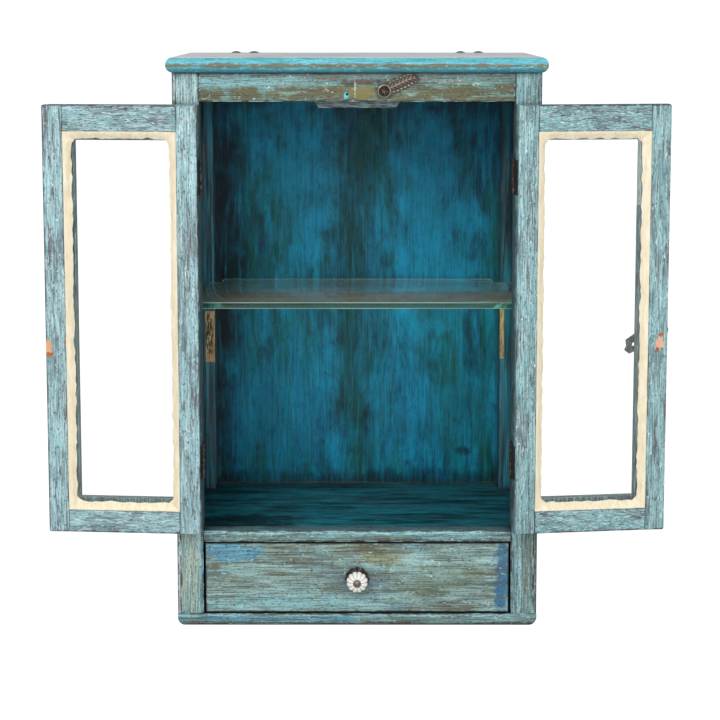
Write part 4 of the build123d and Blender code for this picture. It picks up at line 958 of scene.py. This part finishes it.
for node, wood in (("drawer_sides", bare_deep), ("drawer_back", bare_level), ("drawer_bottom", bare_level),
                   ("drawer_runners", bare_deep), ("drawer_guides", bare_deep), ("drawer_kickers", bare_deep),
                   ("drawer_stops", bare_level), ("base_board", bare_level), ("back_top_rail", bare_level),
                   ("back_bottom_rail", bare_level)):
    worn_board(node, wood, "bare_wood", wear=SLIGHT_WEAR)

# --- glass, metal and ceramic ---
bevelled_shelf()
turn_button()
melon_knob()
scalloped_plate()
latch_loop()
for finish, nodes in (
        (old_iron, ("hanging_brackets", "latch_hook", "latch_plate", "latch_pin", "latch_keeper",
                    "hinge_pins", "turn_button_screw_and_washer", "back_panel_nails", "drawer_nails",
                    *(f"{part}_hinge_{kind}" for part in ("frame", "left_door", "right_door")
                      for kind in ("leaves", "screws")))),
        (bolt_steel, ("hanging_bolts", "knob_bolt", "knob_nut"))):
    for node in nodes:
        frame["nodes"][node].data.materials.clear()
        frame["nodes"][node].data.materials.append(finish)


# --- studio ---
def seen_directly(tree):
    """1 where the eye meets a surface itself or through glass, and 0 where it only lights other things."""
    rays = add(tree, "LightPath")
    return add(tree, "Math", {"operation": "MAXIMUM"},
               {0: rays.outputs["Is Camera Ray"], 1: rays.outputs["Is Transmission Ray"]})


def studio():
    """A white room: a bright ground and background, one broad soft light and a weaker fill."""
    scene = bpy.context.scene
    scene.view_settings.view_transform = "Standard"
    world = bpy.data.worlds.new("white_room")
    scene.world = world
    world.use_nodes = True
    tree = world.node_tree
    tree.nodes.clear()
    seen = seen_directly(tree)
    power = add(tree, "MapRange", {3: 0.5, 4: GLOW}, {"Value": seen.outputs[0]})
    sky = add(tree, "Background", {"Color": (1, 1, 1, 1)}, {"Strength": power.outputs[0]})
    add(tree, "OutputWorld", {}, {"Surface": sky.outputs[0]})

    bpy.ops.object.select_all(action="DESELECT")
    bpy.ops.mesh.primitive_plane_add(size=60, location=(0, 0, -0.002))
    ground = bpy.context.object
    ground.name = "pale_floor"
    # Matt white paper that takes soft shadows but looks pure white.
    material, tree = new_material("white_paper_sweep")[:2]
    seen = seen_directly(tree)
    paper = add(tree, "BsdfPrincipled", {"Base Color": rgb("#e9e9e9"), "Roughness": 0.9})
    glow = add(tree, "Emission", {"Color": (1, 1, 1, 1), "Strength": GLOW})
    lit = add(tree, "MixShader", {}, {0: seen.outputs[0], 1: paper.outputs[0], 2: glow.outputs[0]})
    add(tree, "OutputMaterial", {}, {"Surface": lit.outputs[0]})
    ground.data.materials.append(material)

    target = Vector((0, 0, 0.4))
    for name, place, size, power in (("key_softbox", (-1.3, -2.9, 2.3), 1.8, 62.0),
                                     ("fill_softbox", (1.9, -2.6, 1.2), 2.0, 26.0)):
        light = bpy.data.lights.new(name, "AREA")
        light.size, light.energy = size, power
        lamp = bpy.data.objects.new(name, light)
        scene.collection.objects.link(lamp)
        lamp.location = place
        lamp.rotation_euler = (target - Vector(place)).to_track_quat("-Z", "Y").to_euler()

    lens = bpy.data.cameras.new("studio_camera")
    camera = bpy.data.objects.new("studio_camera", lens)
    scene.collection.objects.link(camera)
    lens.lens, lens.sensor_width, lens.shift_y = LENS, 36.0, LENS_SHIFT
    camera.location = (CAMERA_RIGHT * MM, (front_y - CAMERA_BACK) * MM, CAMERA_HEIGHT * MM)
    camera.rotation_euler = (math.radians(90 - CAMERA_TILT), 0, 0)
    scene.camera = camera


studio()
